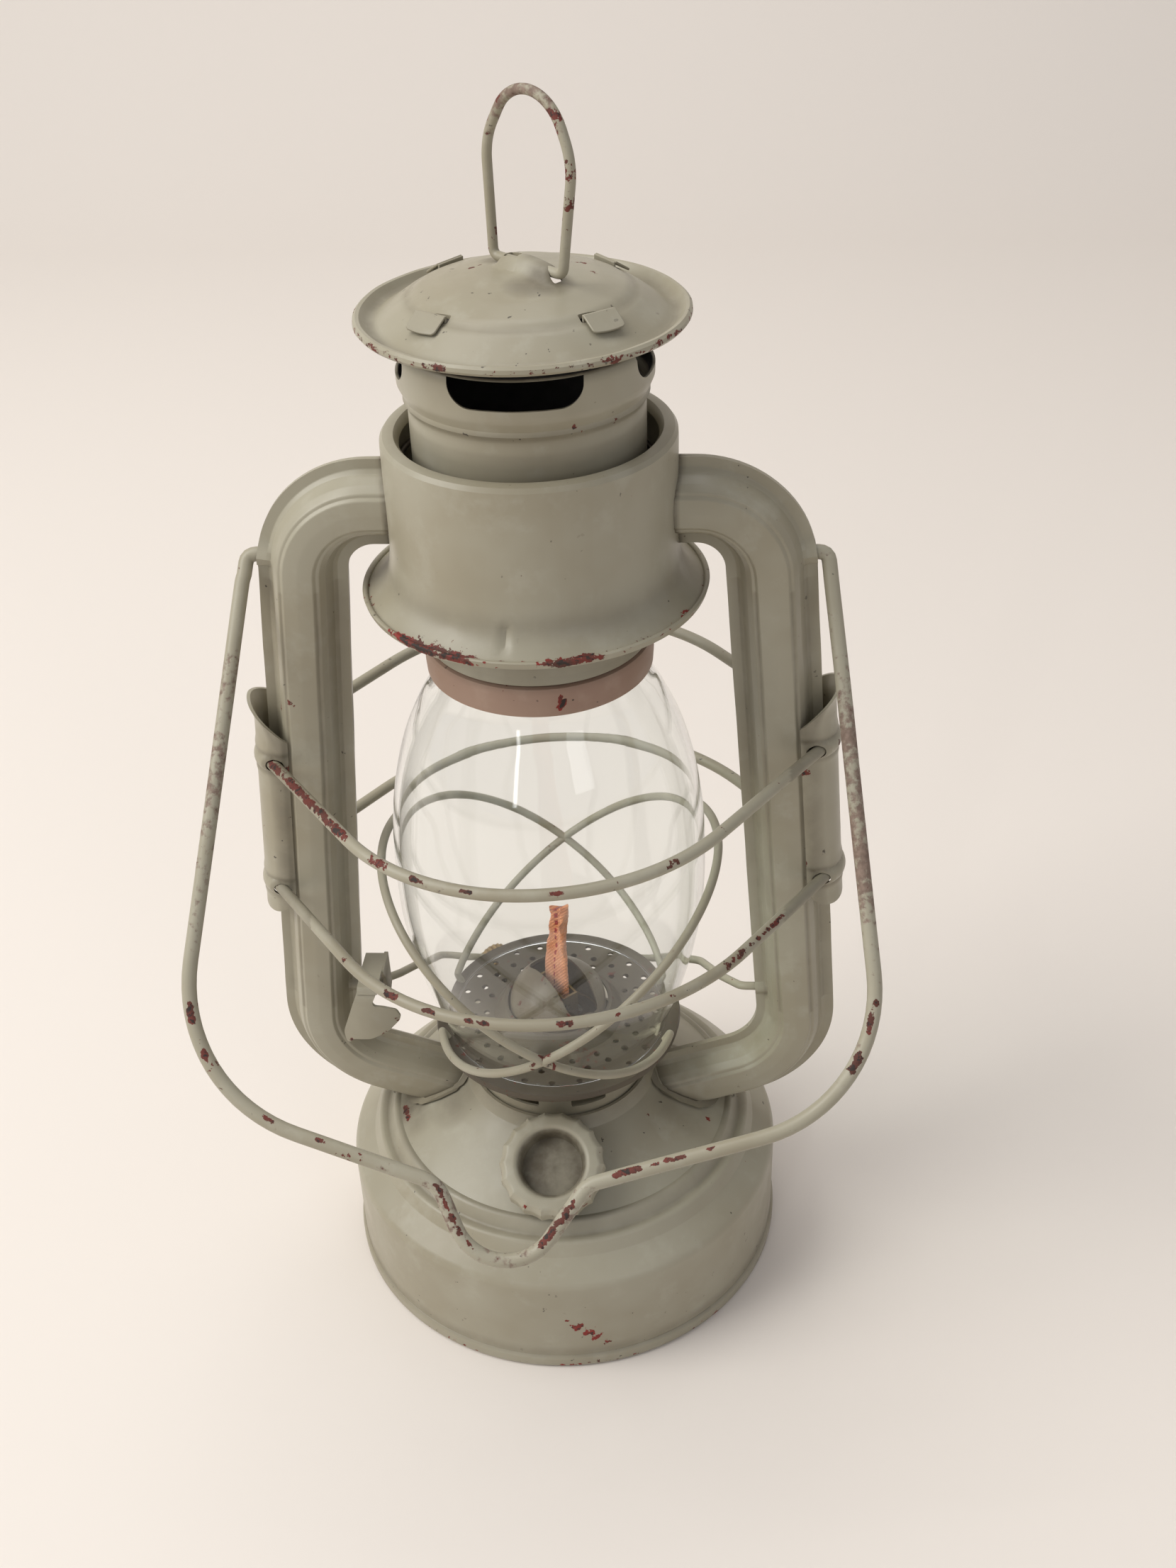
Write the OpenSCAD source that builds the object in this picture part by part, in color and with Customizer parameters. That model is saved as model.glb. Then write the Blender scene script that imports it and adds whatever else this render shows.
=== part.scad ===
// Tubular hurricane lantern: a round fuel tank, two pressed side tubes, a glass globe in crossed
// wire guards, a spring-loaded chimney with a hanging ring, and a swinging wire bail.
// Millimetres. The origin is the centre of the foot, +Z is up and the filler cap is at the front, -Y.

/* [Fuel tank] */
// Radius of the rolled seam at the foot
foot_r = 60; // [59:0.5:62]
// Height of the straight tank wall's top edge
shoulder_z = 28.3; // [26:0.5:29]
// Thickness of the pressed tank and chamber sheet
sheet = 0.8; // [0.6:0.1:1]
// Slope of the raised air dome on the tank
dome_slope = 29.6; // [28:0.2:31]

/* [Filler] */
// Tilt of the filler towards the front
filler_tilt = 30; // [26:1:32]
// Outer radius of the filler cap
cap_r = 13; // [12:0.5:13]
// Height of the filler cap
cap_h = 5.6; // [5:0.1:6]
// Scallops around the filler cap
cap_scallops = 18; // [12:1:24]

/* [Side tubes] */
// Half width of a side tube over its flanges
tube_half_w = 10.25; // [9.5:0.25:10.5]
// Depth of one pressed half tube
tube_depth = 8; // [7:0.25:8.5]
// Centre of the upper bend, from the lantern's axis
upper_bend_x = 36; // [35:0.5:37]
// Height of the upper bend's centre
upper_bend_z = 207; // [205:1:208]
// Radius of the upper bend, on the tube's centre line
upper_bend_r = 17; // [16:0.5:18]
// Centre of the lower bend, from the lantern's axis
lower_bend_x = 41.8; // [41:0.2:43]
// Height of the lower bend's centre
lower_bend_z = 75.2; // [74:0.2:76]
// Radius of the lower bend, on the tube's centre line
lower_bend_r = 21.75; // [21:0.25:22]
// Slope of the tube's foot where it meets the dome
foot_slope = 20; // [18:1:24]

/* [Chimney and chamber] */
// Radius of the air chamber
chamber_r = 32.2; // [31.5:0.1:32.5]
// Radius of the bell at the chamber's lower rim
bell_r = 39; // [38:0.5:40]
// Radius of the chimney's inner tube
chimney_r = 25.4; // [25:0.1:25.8]
// Radius of the canopy
canopy_r = 35; // [34:0.5:36]
// Height of the canopy's rim
canopy_z = 266.6; // [266:0.2:267]

/* [Globe] */
// Largest radius of the glass globe
globe_r = 39; // [38:0.5:39.5]
// Wall of the glass globe
globe_wall = 1.5; // [1.2:0.1:2]

/* [Wire] */
// Diameter of the guard hoops' wire
guard_d = 2.9; // [2.6:0.1:3]
// Diameter of the crossed hoops' wire
cross_d = 2.2; // [2:0.1:2.4]
// Diameter of the crank's wire
crank_d = 2.2; // [2:0.1:2.3]
// Diameter of the bail's wire
bail_d = 3.4; // [3.2:0.1:3.8]
// Diameter of the hanging ring's wire
ring_d = 2.1; // [1.8:0.1:2.2]
// Bail's angle from straight down when it rests at the front
bail_rest = 36; // [34:1:40]

/* [Wick] */
// Width of the flat wick
wick_w = 10.4; // [9:0.2:10.6]
// Thickness of the flat wick
wick_t = 2.2; // [1.8:0.1:2.4]
// Direction of the wick's width, seen from above
wick_turn = -51.5; // [-60:0.5:-45]

/* [Hidden] */
$fn = 72;

paint = [0.62, 0.60, 0.53];
paint_dark = [0.55, 0.53, 0.46];
bare_pink = [0.66, 0.50, 0.44];
glass_tint = [0.85, 0.9, 0.9, 0.35];
running = 0.05;    // radial clearance of a pin in its bore
seat_gap = 0.3;    // gap between pieces that lift off each other

// ---- tank ----
seam_r = 1.4;                          // rolled seam at the foot
wall_r = foot_r - 0.7;
seam_top = 4.2;
shoulder_r = 3;
dome_outer_r = 45.6;
dome_outer_z = 42.9;
dome_top_r = 25.2;
dome_top_z = dome_outer_z + (dome_outer_r - dome_top_r) * tan(dome_slope);
dome_lip_r = 24.2;
dome_lip_z = dome_top_z + 2.5;
tank_top_z = 41.4;                     // flat top of the tank, under the dome
collar_hole_r = 14.2;
groove_ridge_z = 42.3;                  // top of the ridge round the dome

// ---- filler, along its own tilted axis ----
cap_top = [0, -40.2, 57];
filler_axis = [0, -sin(filler_tilt), cos(filler_tilt)];
cap_base = cap_top - filler_axis * cap_h;
recess_r = 9;
recess_depth = 4.6;
neck_r = 11;
neck_wall = 0.8;
neck_up = cap_h - 2.4;                 // how far the neck reaches into the cap
neck_down = 14;
seal_t = 1;

// ---- burner ----
plug_r = 12.3;
burner_flange_z = 50;
drum_r = 12.1;
drum_top_z = 70;
gallery_r = 23.4;
gallery_z = 53.6;
gallery_top = 69.4;
shaft_z = 60;
shaft_r = 1.1;
wheel_r = 3.4;
shaft_off = wick_t / 2 + wheel_r + 0.1;   // shaft's distance from the wick's middle
knob_r = 5.2;
knob_at = 38;
knob_t = 5;
wick_bottom = 31;
wick_top = 109;
wick_slot = 3.4;

// ---- globe plate ----
plate_rim_r = 33;
plate_rim_z = 71;
plate_rim_top = 73.6;
plate_r = 29;
plate_hole_r = 13.6;
plate_flat_z = 73.4;
plate_rise = 4.4;
plate_skirt_r = 24.6;

// ---- tube path, drawn in the X-Z plane for the right-hand tube ----
bend_dx = lower_bend_x - upper_bend_x;
bend_dz = upper_bend_z - lower_bend_z;
splay = atan2(bend_dx, bend_dz) + asin((lower_bend_r - upper_bend_r) / norm([bend_dx, bend_dz]));
upper_end = [upper_bend_x + upper_bend_r * cos(splay), upper_bend_z + upper_bend_r * sin(splay)];
lower_start = [lower_bend_x + lower_bend_r * cos(splay), lower_bend_z + lower_bend_r * sin(splay)];
foot_normal = foot_slope - 90;
lower_end = [lower_bend_x + lower_bend_r * cos(foot_normal), lower_bend_z + lower_bend_r * sin(foot_normal)];
foot_run = 27;
foot_end = lower_end - foot_run * [cos(foot_slope), sin(foot_slope)];
function tube_x(z) = upper_end[0] + (upper_end[1] - z) * tan(splay);

// ---- pivots ----
bail_z = 211;
bail_tip = 58.6;                       // inner end of a bail pivot
crank_z = 82.5;
crank_tip = 57;
crank_back = [26, 69.3];               // [y, z] of the crank's cross bar

// ---- guards ----
upper_hoop_z = 160.6;
lower_hoop_z = 122.8;
hoop_gap = 11.9;                       // hoop wire's distance from the tube's centre line
hoop_front = 57.6;                     // furthest reach of a hoop to the front
clip_axis = 5.5;
clip_r = 8.1;
clip_t = 0.9;
clip_top_z = 175;
clip_low_z = 111.5;
cross_r = 46;
cross_tilt = 36.9;
cross_x = 5.5;
cross_z = 102.1;

// ---- chimney ----
chamber_low_z = 204;
chamber_top_z = 241.4;
chamber_open_r = 28;
bulge_r = 27.3;
bulge_low_z = 250;
chimney_top_z = 264.4;
window_w = 26;
window_low_z = 255.8;
collar_r = 26.3;
collar_low_z = 184;
collar_top_z = 191.2;
ring_low_z = 191.5;
ring_top_z = 204;
spring_low_z = 207.4;
spring_top_z = 237;
spring_turns = 4;
spring_wire = 1.4;
crease_r = 22.8;
crease_z = 271;
crown_z = 275.4;
valley_r = 31;
valley_z = 265.6;
tab_w = 7.6;
tab_r = 27;
tab_turn = 43;

// ---- hanging ring ----
ring_turn = -42;
ring_centre = 2.6;                     // along the ring's own width
ring_pin_z = 276.5;
bridge_half = 7.2;

// ---- general geometry ----
function unit(v) = v / norm(v);
function arc(c, r, a0, a1, n = 8) = [for (i = [0:n]) c + r * [cos(a0 + (a1 - a0) * i / n),
    sin(a0 + (a1 - a0) * i / n)]];
function side_of(a, b) = let(u = unit(b - a)) [-u[1], u[0]];
function miter(p, i) = let(
    n0 = side_of(p[max(i - 1, 0)], p[max(i, 1)]),
    n1 = side_of(p[min(i, len(p) - 2)], p[min(i + 1, len(p) - 1)]),
    m = unit(n0 + n1)) m / (m * n1);
// Closed outline of a sheet of thickness t on the left side of a path, trimmed by g all round
function trim_end(p, i, g) = i == 0 ? g * unit(p[1] - p[0]) : i == len(p) - 1 ? g * unit(p[i - 1] - p[i]) : [0, 0];
function sheet_outline(p, t, g = 0) = concat(
    [for (i = [0:len(p) - 1]) p[i] + g * miter(p, i) + trim_end(p, i, g)],
    [for (i = [len(p) - 1:-1:0]) p[i] + (t - g) * miter(p, i) + trim_end(p, i, g)]);
function to_axis(p) = [for (q = p) [max(q[0], 0), q[1]]];
// Point on a smooth curve through the points p, at the parameter u from 0 to len(p) - 1
function blend(a, b, c, d, t) = 0.5 * (2 * b + (c - a) * t + (2 * a - 5 * b + 4 * c - d) * t * t
    + (3 * b - 3 * c + d - a) * t * t * t);
function smooth(p, n) = concat([for (i = [0:len(p) - 2], k = [0:n - 1])
    blend(p[max(i - 1, 0)], p[i], p[i + 1], p[min(i + 2, len(p) - 1)], k / n)], [p[len(p) - 1]]);

function at(p, i) = p[(i + len(p)) % len(p)];
function turn_at(p, i) = let(u = unit(at(p, i) - at(p, i - 1)), w = unit(at(p, i + 1) - at(p, i)))
    atan2(u[0] * w[1] - u[1] * w[0], u * w);
function setback(p, r, i) = at(r, i) == 0 ? 0 : at(r, i) * tan(abs(turn_at(p, i)) / 2);

// Round wire along the corners p in the X-Y plane, bent at each corner to the radius r[i]; the
// straight runs reach a little way into the bends, which are a touch thicker
module wire(p, r, d, loop = false) {
    lap = 0.15;
    for (i = [0:len(p) - (loop ? 1 : 2)]) {
        u = unit(at(p, i + 1) - p[i]);
        lap0 = r[i] == 0 ? 0 : lap;
        lap1 = at(r, i + 1) == 0 ? 0 : lap;
        a = p[i] + u * (setback(p, r, i) - lap0);
        run_l = norm(at(p, i + 1) - p[i]) - setback(p, r, i) - setback(p, r, i + 1) + lap0 + lap1;
        translate([a[0], a[1], 0]) rotate([0, 0, atan2(u[1], u[0])]) rotate([0, 90, 0])
            cylinder(h = run_l, d = d, $fn = 32);
    }
    for (i = [0:len(p) - 1]) if (r[i] > 0) {
        t = turn_at(p, i);
        u = unit(p[i] - at(p, i - 1));
        n = [-u[1], u[0]] * sign(t);
        c = p[i] - u * setback(p, r, i) + n * r[i];
        from = atan2(-n[1], -n[0]);
        translate([c[0], c[1], 0]) rotate([0, 0, t > 0 ? from : from + t])
            rotate_extrude(angle = abs(t)) translate([r[i], 0]) circle(d = d + 0.06, $fn = 32);
    }
}

module ring_of(n, phase = 0) {
    for (i = [0:n - 1]) rotate([0, 0, phase + 360 * i / n]) children();
}

module along_filler() {
    translate(cap_base) rotate([filler_tilt, 0, 0]) children();
}

module wick_frame() {
    rotate([0, 0, wick_turn]) children();
}

// ---- fuel tank ----
tank_path = concat([[wall_r, seam_top - 1.2]], arc([wall_r - shoulder_r, shoulder_z], shoulder_r, 0, 48, 6),
    [[51.6, 37]], arc([50.5, 37.7], 1.3, 20, 130, 5), [[49.2, 38.9]],
    arc([47.6, 40.6], 1.7, 10, 120, 6), [[45.4, tank_top_z + sheet], [collar_hole_r, tank_top_z + sheet]]);

module tank_shell() {
    color(paint) difference() {
        rotate_extrude() polygon(sheet_outline(tank_path, sheet));
        along_filler() translate([0, 0, -20]) cylinder(r = neck_r + running, h = 20);
    }
}

module tank_bottom() {
    seam_c = foot_r - seam_r;
    lap_r = wall_r - sheet - 0.02;
    color(paint) rotate_extrude() polygon(concat([[0, 0], [seam_c, 0]],
        arc([seam_c, seam_r], seam_r, -70, 0, 6),
        [[foot_r, seam_top - 1.6], [foot_r - 0.15, seam_top - 0.4], [wall_r + 0.12, seam_top],
         [wall_r + 0.02, seam_top - 1.3], [lap_r, seam_top - 1.3], [lap_r, seam_top + 3],
         [lap_r - sheet, seam_top + 3], [lap_r - sheet, sheet], [0, sheet]]));
}

dome_path = concat([[dome_outer_r, dome_outer_z]], [[dome_top_r + 0.6, dome_top_z - 0.4]],
    [[dome_top_r, dome_top_z]], [[dome_lip_r + 0.2, dome_lip_z - 0.8], [dome_lip_r + 0.4, dome_lip_z]]);

// Inner space of a tube's foot, as a solid that cuts its opening
module foot_core(grow, reach) {
    w = tube_half_w - 3.4 + grow;
    d = tube_depth - 1 + grow;
    tube_run(lower_end, lower_end - reach * [cos(foot_slope), sin(foot_slope)])
        polygon([[-w, -d * 0.3], [-w * 0.6, -d], [w * 0.6, -d], [w, -d * 0.3],
            [w, d * 0.3], [w * 0.6, d], [-w * 0.6, d], [-w, d * 0.3]]);
}

module air_dome() {
    color(paint) difference() {
        rotate_extrude() polygon(sheet_outline(dome_path, sheet));
        along_filler() translate([0, 0, -20]) cylinder(r = neck_r + running, h = 20);
        upright() foot_core(0, foot_run);
        mirror([1, 0, 0]) upright() foot_core(0, foot_run);
    }
}

// ---- filler ----
module filler_neck() {
    color(paint_dark) along_filler() difference() {
        union() {
            translate([0, 0, -neck_down]) cylinder(r = neck_r, h = neck_down + neck_up);
            translate([0, 0, 0.9]) rotate_extrude() translate([neck_r - 0.1, 0]) circle(r = 0.3, $fn = 16);
            translate([0, 0, 2.3]) rotate_extrude() translate([neck_r - 0.1, 0]) circle(r = 0.3, $fn = 16);
        }
        translate([0, 0, -neck_down - 1]) cylinder(r = neck_r - neck_wall, h = neck_down + neck_up + 2);
    }
}

module filler_cap() {
    edge = 1.2;
    skirt = 1;
    color(paint) along_filler() difference() {
        rotate_extrude() polygon(concat([[0, cap_h - recess_depth - sheet], [0, cap_h - recess_depth],
            [recess_r - 0.6, cap_h - recess_depth], [recess_r, cap_h - recess_depth + 0.7],
            [recess_r, cap_h - 0.9]], arc([recess_r + 0.9, cap_h - 0.9], 0.9, 180, 90, 4),
            arc([cap_r - edge, cap_h - edge], edge, 90, 0, 5),
            [[cap_r, 0], [cap_r - skirt, 0], [cap_r - skirt, cap_h - 1.2], [recess_r + 0.7, cap_h - 1.2],
            [recess_r + 0.7, cap_h - recess_depth - sheet]]));
        ring_of(cap_scallops) translate([cap_r + 1.7, 0, -1]) cylinder(r = 2.2, h = cap_h + 2, $fn = 24);
    }
}

module cap_seal() {
    color([0.25, 0.22, 0.2]) along_filler() translate([0, 0, neck_up + 0.02]) difference() {
        cylinder(r = neck_r + 0.3, h = seal_t);
        translate([0, 0, -1]) cylinder(r = neck_r - 1, h = seal_t + 2);
    }
}

// ---- burner ----
module burner_collar() {
    color(paint_dark) rotate_extrude() polygon([[plug_r + running, 39.6], [collar_hole_r - 0.02, 39.6],
        [collar_hole_r - 0.02, tank_top_z + sheet + 0.05], [collar_hole_r + 2, tank_top_z + sheet + 0.05],
        [collar_hole_r + 2, 43], [collar_hole_r - 0.4, 43.6], [collar_hole_r - 0.4, burner_flange_z - 0.1],
        [plug_r + running, burner_flange_z - 0.1]]);
}

module burner_body() {
    color([0.62, 0.55, 0.38]) difference() {
        union() {
            translate([0, 0, 44]) cylinder(r = plug_r, h = burner_flange_z - 44);
            translate([0, 0, burner_flange_z]) cylinder(r = plug_r + 3, h = 1.2);
            translate([0, 0, burner_flange_z]) cylinder(r = drum_r, h = drum_top_z - burner_flange_z);
        }
        translate([0, 0, burner_flange_z + 2.4]) cylinder(r = drum_r - sheet, h = 30);
        translate([0, 0, 40]) cylinder(r = plug_r - sheet - 0.4, h = burner_flange_z - 40 + 0.8);
        wick_frame() cube([wick_w + 2, wick_slot + 1.24, 200], center = true);
        wick_frame() translate([-20, shaft_off, shaft_z]) rotate([0, 90, 0])
            cylinder(r = shaft_r + running, h = 40);
        ring_of(8, 22.5) translate([drum_r, 0, 64.6]) rotate([0, 90, 0]) cylinder(r = 1.7, h = 6, center = true);
    }
}

module burner_gallery() {
    slot_w = 9.6;
    color(paint) difference() {
        rotate_extrude() polygon([[gallery_r - 0.7, gallery_z], [gallery_r, gallery_z],
            [gallery_r, gallery_top], [gallery_r - 0.7, gallery_top]]);
        ring_of(8, 22.5) translate([gallery_r, 0, 62.4]) cube([4, slot_w, 5.2], center = true);
        wick_frame() translate([-40, shaft_off, shaft_z]) rotate([0, 90, 0]) cylinder(r = 1.6, h = 30);
    }
    color(paint_dark) difference() {
        rotate_extrude() polygon([[plug_r + 0.3, burner_flange_z + 1.3], [gallery_r - 0.3, burner_flange_z + 3.2],
            [gallery_r - 0.3, burner_flange_z + 4], [plug_r + 0.3, burner_flange_z + 2.1]]);
        ring_of(16) translate([18, 0, burner_flange_z]) cylinder(r = 1.7, h = 10, $fn = 24);
    }
}

module wick_tube() {
    wall = 0.6;
    color([0.62, 0.55, 0.38]) wick_frame() difference() {
        translate([-(wick_w + 1.96) / 2, -(wick_slot + 1.2) / 2, 44]) cube([wick_w + 1.96, wick_slot + 1.2, 39]);
        translate([-(wick_w + 1.96) / 2 + wall, -wick_slot / 2, 40])
            cube([wick_w + 1.96 - 2 * wall, wick_slot, 50]);
        translate([-wick_w / 2, 0, shaft_z - 4]) cube([wick_w, 6, 8]);
    }
}

module wick() {
    fold = 8;
    color([0.93, 0.55, 0.33]) wick_frame() {
        translate([0, wick_t / 2, 0]) rotate([90, 0, 0]) linear_extrude(wick_t) polygon([
            [-wick_w / 2, wick_bottom], [wick_w / 2, wick_bottom], [wick_w / 2, 84], [wick_w / 2 - 0.6, 88],
            [2.4, wick_top - 6], [2.9, wick_top - 3], [1.6, wick_top], [-1.8, wick_top - 0.4],
            [-2.7, wick_top - fold], [-wick_w / 2 + 0.6, 89], [-wick_w / 2, 85]]);
    }
}

module wick_shaft() {
    color([0.6, 0.55, 0.4]) wick_frame() translate([-knob_at - knob_t, shaft_off, shaft_z])
        rotate([0, 90, 0]) cylinder(r = shaft_r, h = knob_at + knob_t + drum_r + 1.2, $fn = 32);
}

module wick_wheels() {
    color([0.6, 0.55, 0.4]) wick_frame() for (x = [-3.4, 2])
        translate([x, shaft_off, shaft_z]) rotate([0, 90, 0]) difference() {
            cylinder(r = wheel_r, h = 1.4, $fn = 48);
            ring_of(12) translate([wheel_r + 0.1, 0, -1]) cylinder(r = 0.5, h = 4, $fn = 16);
            translate([0, 0, -1]) cylinder(r = shaft_r, h = 4, $fn = 32);
        }
}

module wick_knob() {
    color([0.6, 0.55, 0.4]) wick_frame() translate([-knob_at - knob_t, shaft_off, shaft_z])
        rotate([0, 90, 0]) difference() {
            union() {
                cylinder(r = knob_r, h = 2.2);
                cylinder(r = 2.4, h = knob_t);
            }
            ring_of(20) translate([knob_r + 0.5, 0, -1]) cylinder(r = 0.9, h = 5, $fn = 16);
            translate([0, 0, -1]) cylinder(r = shaft_r, h = 9, $fn = 32);
        }
}

module burner_cone() {
    skirt_r = 12.95;
    top_z = 88.6;
    path = concat([[skirt_r, 68], [skirt_r, 77]], arc([0, 77], skirt_r, 6, 78, 12));
    squash = (top_z - 77) / skirt_r;
    low_path = [for (q = path) [q[0], q[1] < 77 ? q[1] : 77 + (q[1] - 77) * squash]];
    color(paint_dark) difference() {
        rotate_extrude() polygon(to_axis(sheet_outline(low_path, 0.7)));
        wick_frame() translate([-wick_w / 2 - 2.2, -2.9, 79]) cube([wick_w + 8, 5.8, 20]);
        wick_frame() translate([-wick_w / 2 - 1.2, -2.9, 76]) cube([wick_w + 2.4, 5.8, 20]);
    }
}

// ---- globe plate, globe and crossed hoops ----
module globe_plate() {
    edge = 0.9;
    color(paint_dark) difference() {
        union() {
            rotate_extrude() polygon(sheet_outline([[plate_rim_r - 1.2, plate_rim_z],
                [plate_rim_r - 0.3, plate_rim_z + 0.2], [plate_rim_r, plate_rim_top - 0.8],
                [plate_rim_r - 0.6, plate_rim_top], [plate_rim_r - 1.7, plate_rim_top - 0.2],
                [plate_r + 1.2, plate_flat_z], [17.5, plate_flat_z],
                [plate_hole_r + 1, plate_flat_z + plate_rise], [plate_hole_r, plate_flat_z + plate_rise]],
                edge));
            rotate_extrude() polygon([[plate_skirt_r, 70.4], [plate_skirt_r + 0.8, 70.4],
                [plate_skirt_r + 0.8, 73], [plate_skirt_r, 73]]);
        }
        for (k = [0:1]) ring_of(18 + 6 * k, 7 * k)
            translate([19.6 + 3.2 * k, 0, 68]) cylinder(r = 0.9, h = 12, $fn = 16);
        ring_of(24, 3) translate([26.8, 0, 68]) cylinder(r = 0.9, h = 12, $fn = 16);
    }
}

globe_profile = smooth([[29.6, plate_flat_z + 0.02], [31, 80], [34.2, 90], [37, 102], [38.7, 115], [39, 128], [38.4, 141],
    [36.6, 153], [33.6, 164], [29.6, 173], [26.6, 178.6], [25.2, 183.4], [24.8, 187.4], [24.7, 190.4]], 4);

module globe() {
    grow = globe_r - 39;
    color(glass_tint) rotate_extrude()
        polygon(sheet_outline([for (q = globe_profile) q + [grow * sin((q[1] - 75) / 115 * 180), 0]],
            globe_wall));
}

// One hoop: a flat ring that stands high on one side and meets the plate's rim on the other
module cross_hoop() {
    gap = 14;
    color(paint) translate([cross_x, 0, cross_z]) rotate([0, -cross_tilt, 0]) {
        rotate([0, 0, 180 + gap]) rotate_extrude(angle = 360 - 2 * gap)
            translate([cross_r, 0]) circle(d = cross_d, $fn = 32);
    }
}

module cross_hoop_right() {
    cross_hoop();
}

module cross_hoop_left() {
    mirror([1, 0, 0]) cross_hoop();
}

// ---- side tubes ----
// Stands a drawing in the X-Y plane upright: its Y becomes +Z and its height becomes the front, -Y
module upright() {
    rotate([90, 0, 0]) children();
}

// Straight run of a section from a to b: the section's X is the outer side, its Y is the front
module tube_run(a, b) {
    u = unit(b - a);
    translate([a[0], a[1], 0]) rotate([0, 0, atan2(u[1], u[0])]) rotate([90, 0, 90])
        linear_extrude(norm(b - a)) children();
}

// A sheet along the whole bent path of a tube; the straight runs reach into the bends
module tube_sheet(p) {
    lap = 0.3;
    trim = 0.02;
    start = [30, upper_bend_z + upper_bend_r];
    turn_r = [upper_bend_x, start[1]];
    down = unit(lower_start - upper_end);
    in = unit(foot_end - lower_end);
    tube_run(start, turn_r + [lap, 0]) polygon(sheet_outline(p, sheet, trim));
    translate([upper_bend_x, upper_bend_z, 0]) rotate([0, 0, splay])
        rotate_extrude(angle = 90 - splay) translate([upper_bend_r, 0]) polygon(sheet_outline(p, sheet));
    tube_run(upper_end - lap * down, lower_start + lap * down) polygon(sheet_outline(p, sheet, trim));
    translate([lower_bend_x, lower_bend_z, 0]) rotate([0, 0, foot_normal])
        rotate_extrude(angle = splay - foot_normal) translate([lower_bend_r, 0]) polygon(sheet_outline(p, sheet));
    tube_run(lower_end - lap * in, foot_end) polygon(sheet_outline(p, sheet, trim));
}

half_section = [[tube_half_w, sheet], [7.7, sheet], [7, 2.2], [5.7, 5.2], [4.3, tube_depth - 0.8],
    [3.3, tube_depth + 0.1], [2.5, tube_depth - 0.2], [-2.5, tube_depth - 0.2], [-3.3, tube_depth + 0.1],
    [-4.3, tube_depth - 0.8], [-5.7, 5.2], [-7, 2.2], [-7.7, sheet], [-tube_half_w, sheet]];

module below_dome(lift = 0) {
    reach = 62;
    rotate_extrude() polygon([[0, 20], [reach, 20],
        [reach, lift + dome_outer_z - (reach - dome_outer_r) * tan(dome_slope)],
        [dome_top_r - 4, lift + dome_top_z + 4 * tan(dome_slope)], [0, lift + dome_top_z]]);
}

module pivot_tunnel(x0, x1, z, r) {
    translate([x0, 0, z]) rotate([0, 90, 0]) cylinder(r = r, h = x1 - x0, $fn = 32);
}

module tube_half() {
    bail_flange_x = 63.4;
    crank_flange_x = tube_x(crank_z) - tube_half_w;
    difference() {
        union() {
            upright() tube_sheet(half_section);
            intersection() {
                union() {
                    pivot_tunnel(bail_flange_x - 6.6, bail_flange_x, bail_z, bail_d / 2 + 1);
                    pivot_tunnel(crank_flange_x, crank_flange_x + 4.4, crank_z, crank_d / 2 + 0.8);
                }
                translate([40, -10, 60]) cube([40, 10, 170]);
            }
        }
        cylinder(r = chamber_r + 0.02, h = 300, $fn = 96);
        below_dome();
        pivot_tunnel(45, 80, bail_z, bail_d / 2 + running);
        pivot_tunnel(45, 62, crank_z, crank_d / 2 + running);
    }
}

module right_tube_front() {
    color(paint) tube_half();
}

module right_tube_rear() {
    color(paint_dark) mirror([0, 1, 0]) tube_half();
}

module left_tube_front() {
    color(paint) mirror([1, 0, 0]) tube_half();
}

module left_tube_rear() {
    color(paint_dark) mirror([1, 0, 0]) mirror([0, 1, 0]) tube_half();
}

// Saddle flange around a tube's foot, lying on the dome
module tube_foot() {
    difference() {
        intersection() {
            upright() foot_core(5, foot_run);
            below_dome(0.95);
        }
        below_dome(0.06);
        upright() tube_run(lower_end, foot_end) polygon(concat(
            [for (q = half_section) [q[0], q[1] + 0.02]],
            [for (i = [len(half_section) - 1:-1:0]) [half_section[i][0], -half_section[i][1] - 0.02]]));
        cylinder(r = dome_top_r + 1, h = 100);
        cylinder(r = wall_r, h = groove_ridge_z + 0.1);
    }
}

module right_tube_foot() {
    color(paint) tube_foot();
}

module left_tube_foot() {
    color(paint) mirror([1, 0, 0]) tube_foot();
}

// ---- air chamber ----
chamber_path = concat(arc([chamber_r + 10, chamber_low_z + 9.9], 10, 251, 180, 8),
    [[chamber_r, chamber_top_z - 3.4]], arc([chamber_r - 3.4, chamber_top_z - 3.4], 3.4, 10, 100, 8),
    [[chamber_open_r + 0.1, chamber_top_z - 0.9], [chamber_open_r, chamber_top_z - 2.4]]);

module air_chamber() {
    inlet_z = upper_bend_z + upper_bend_r;
    color(paint) difference() {
        union() {
            rotate_extrude() polygon(sheet_outline(chamber_path, sheet));
            rotate_extrude() translate([bell_r - 0.3, chamber_low_z + 0.7]) circle(r = 0.7, $fn = 24);
        }
        for (s = [-1, 1]) translate([s * chamber_r, 0, inlet_z]) cube([12, 2 * tube_depth - 4, 13], center = true);
        rotate([0, 0, -97]) translate([chamber_r + 3.2, 0, 207.6]) rotate([0, -42, 0])
            cube([1.6, 2.6, 6], center = true);
    }
}

// ---- guard clips and hoops ----
function hoop_side(z) = tube_x(z) + hoop_gap;

// Corners of a hoop: four nearly straight sides that bow out to the front and the back
function hoop_corners(z) = let(sx = hoop_side(z) + 2.1, sy = sx * 1.296)
    [[sx, 0], [0, sy], [-sx, 0], [0, -sy]];

module guard_hoop(z) {
    c = hoop_corners(z);
    bow_angle = atan2(c[1][1], c[0][0]);
    bow_r = (c[1][1] - hoop_front) / (1 / cos(bow_angle) - 1);
    translate([0, 0, z]) wire(c, [8, bow_r, 8, bow_r], guard_d, loop = true);
}

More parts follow.
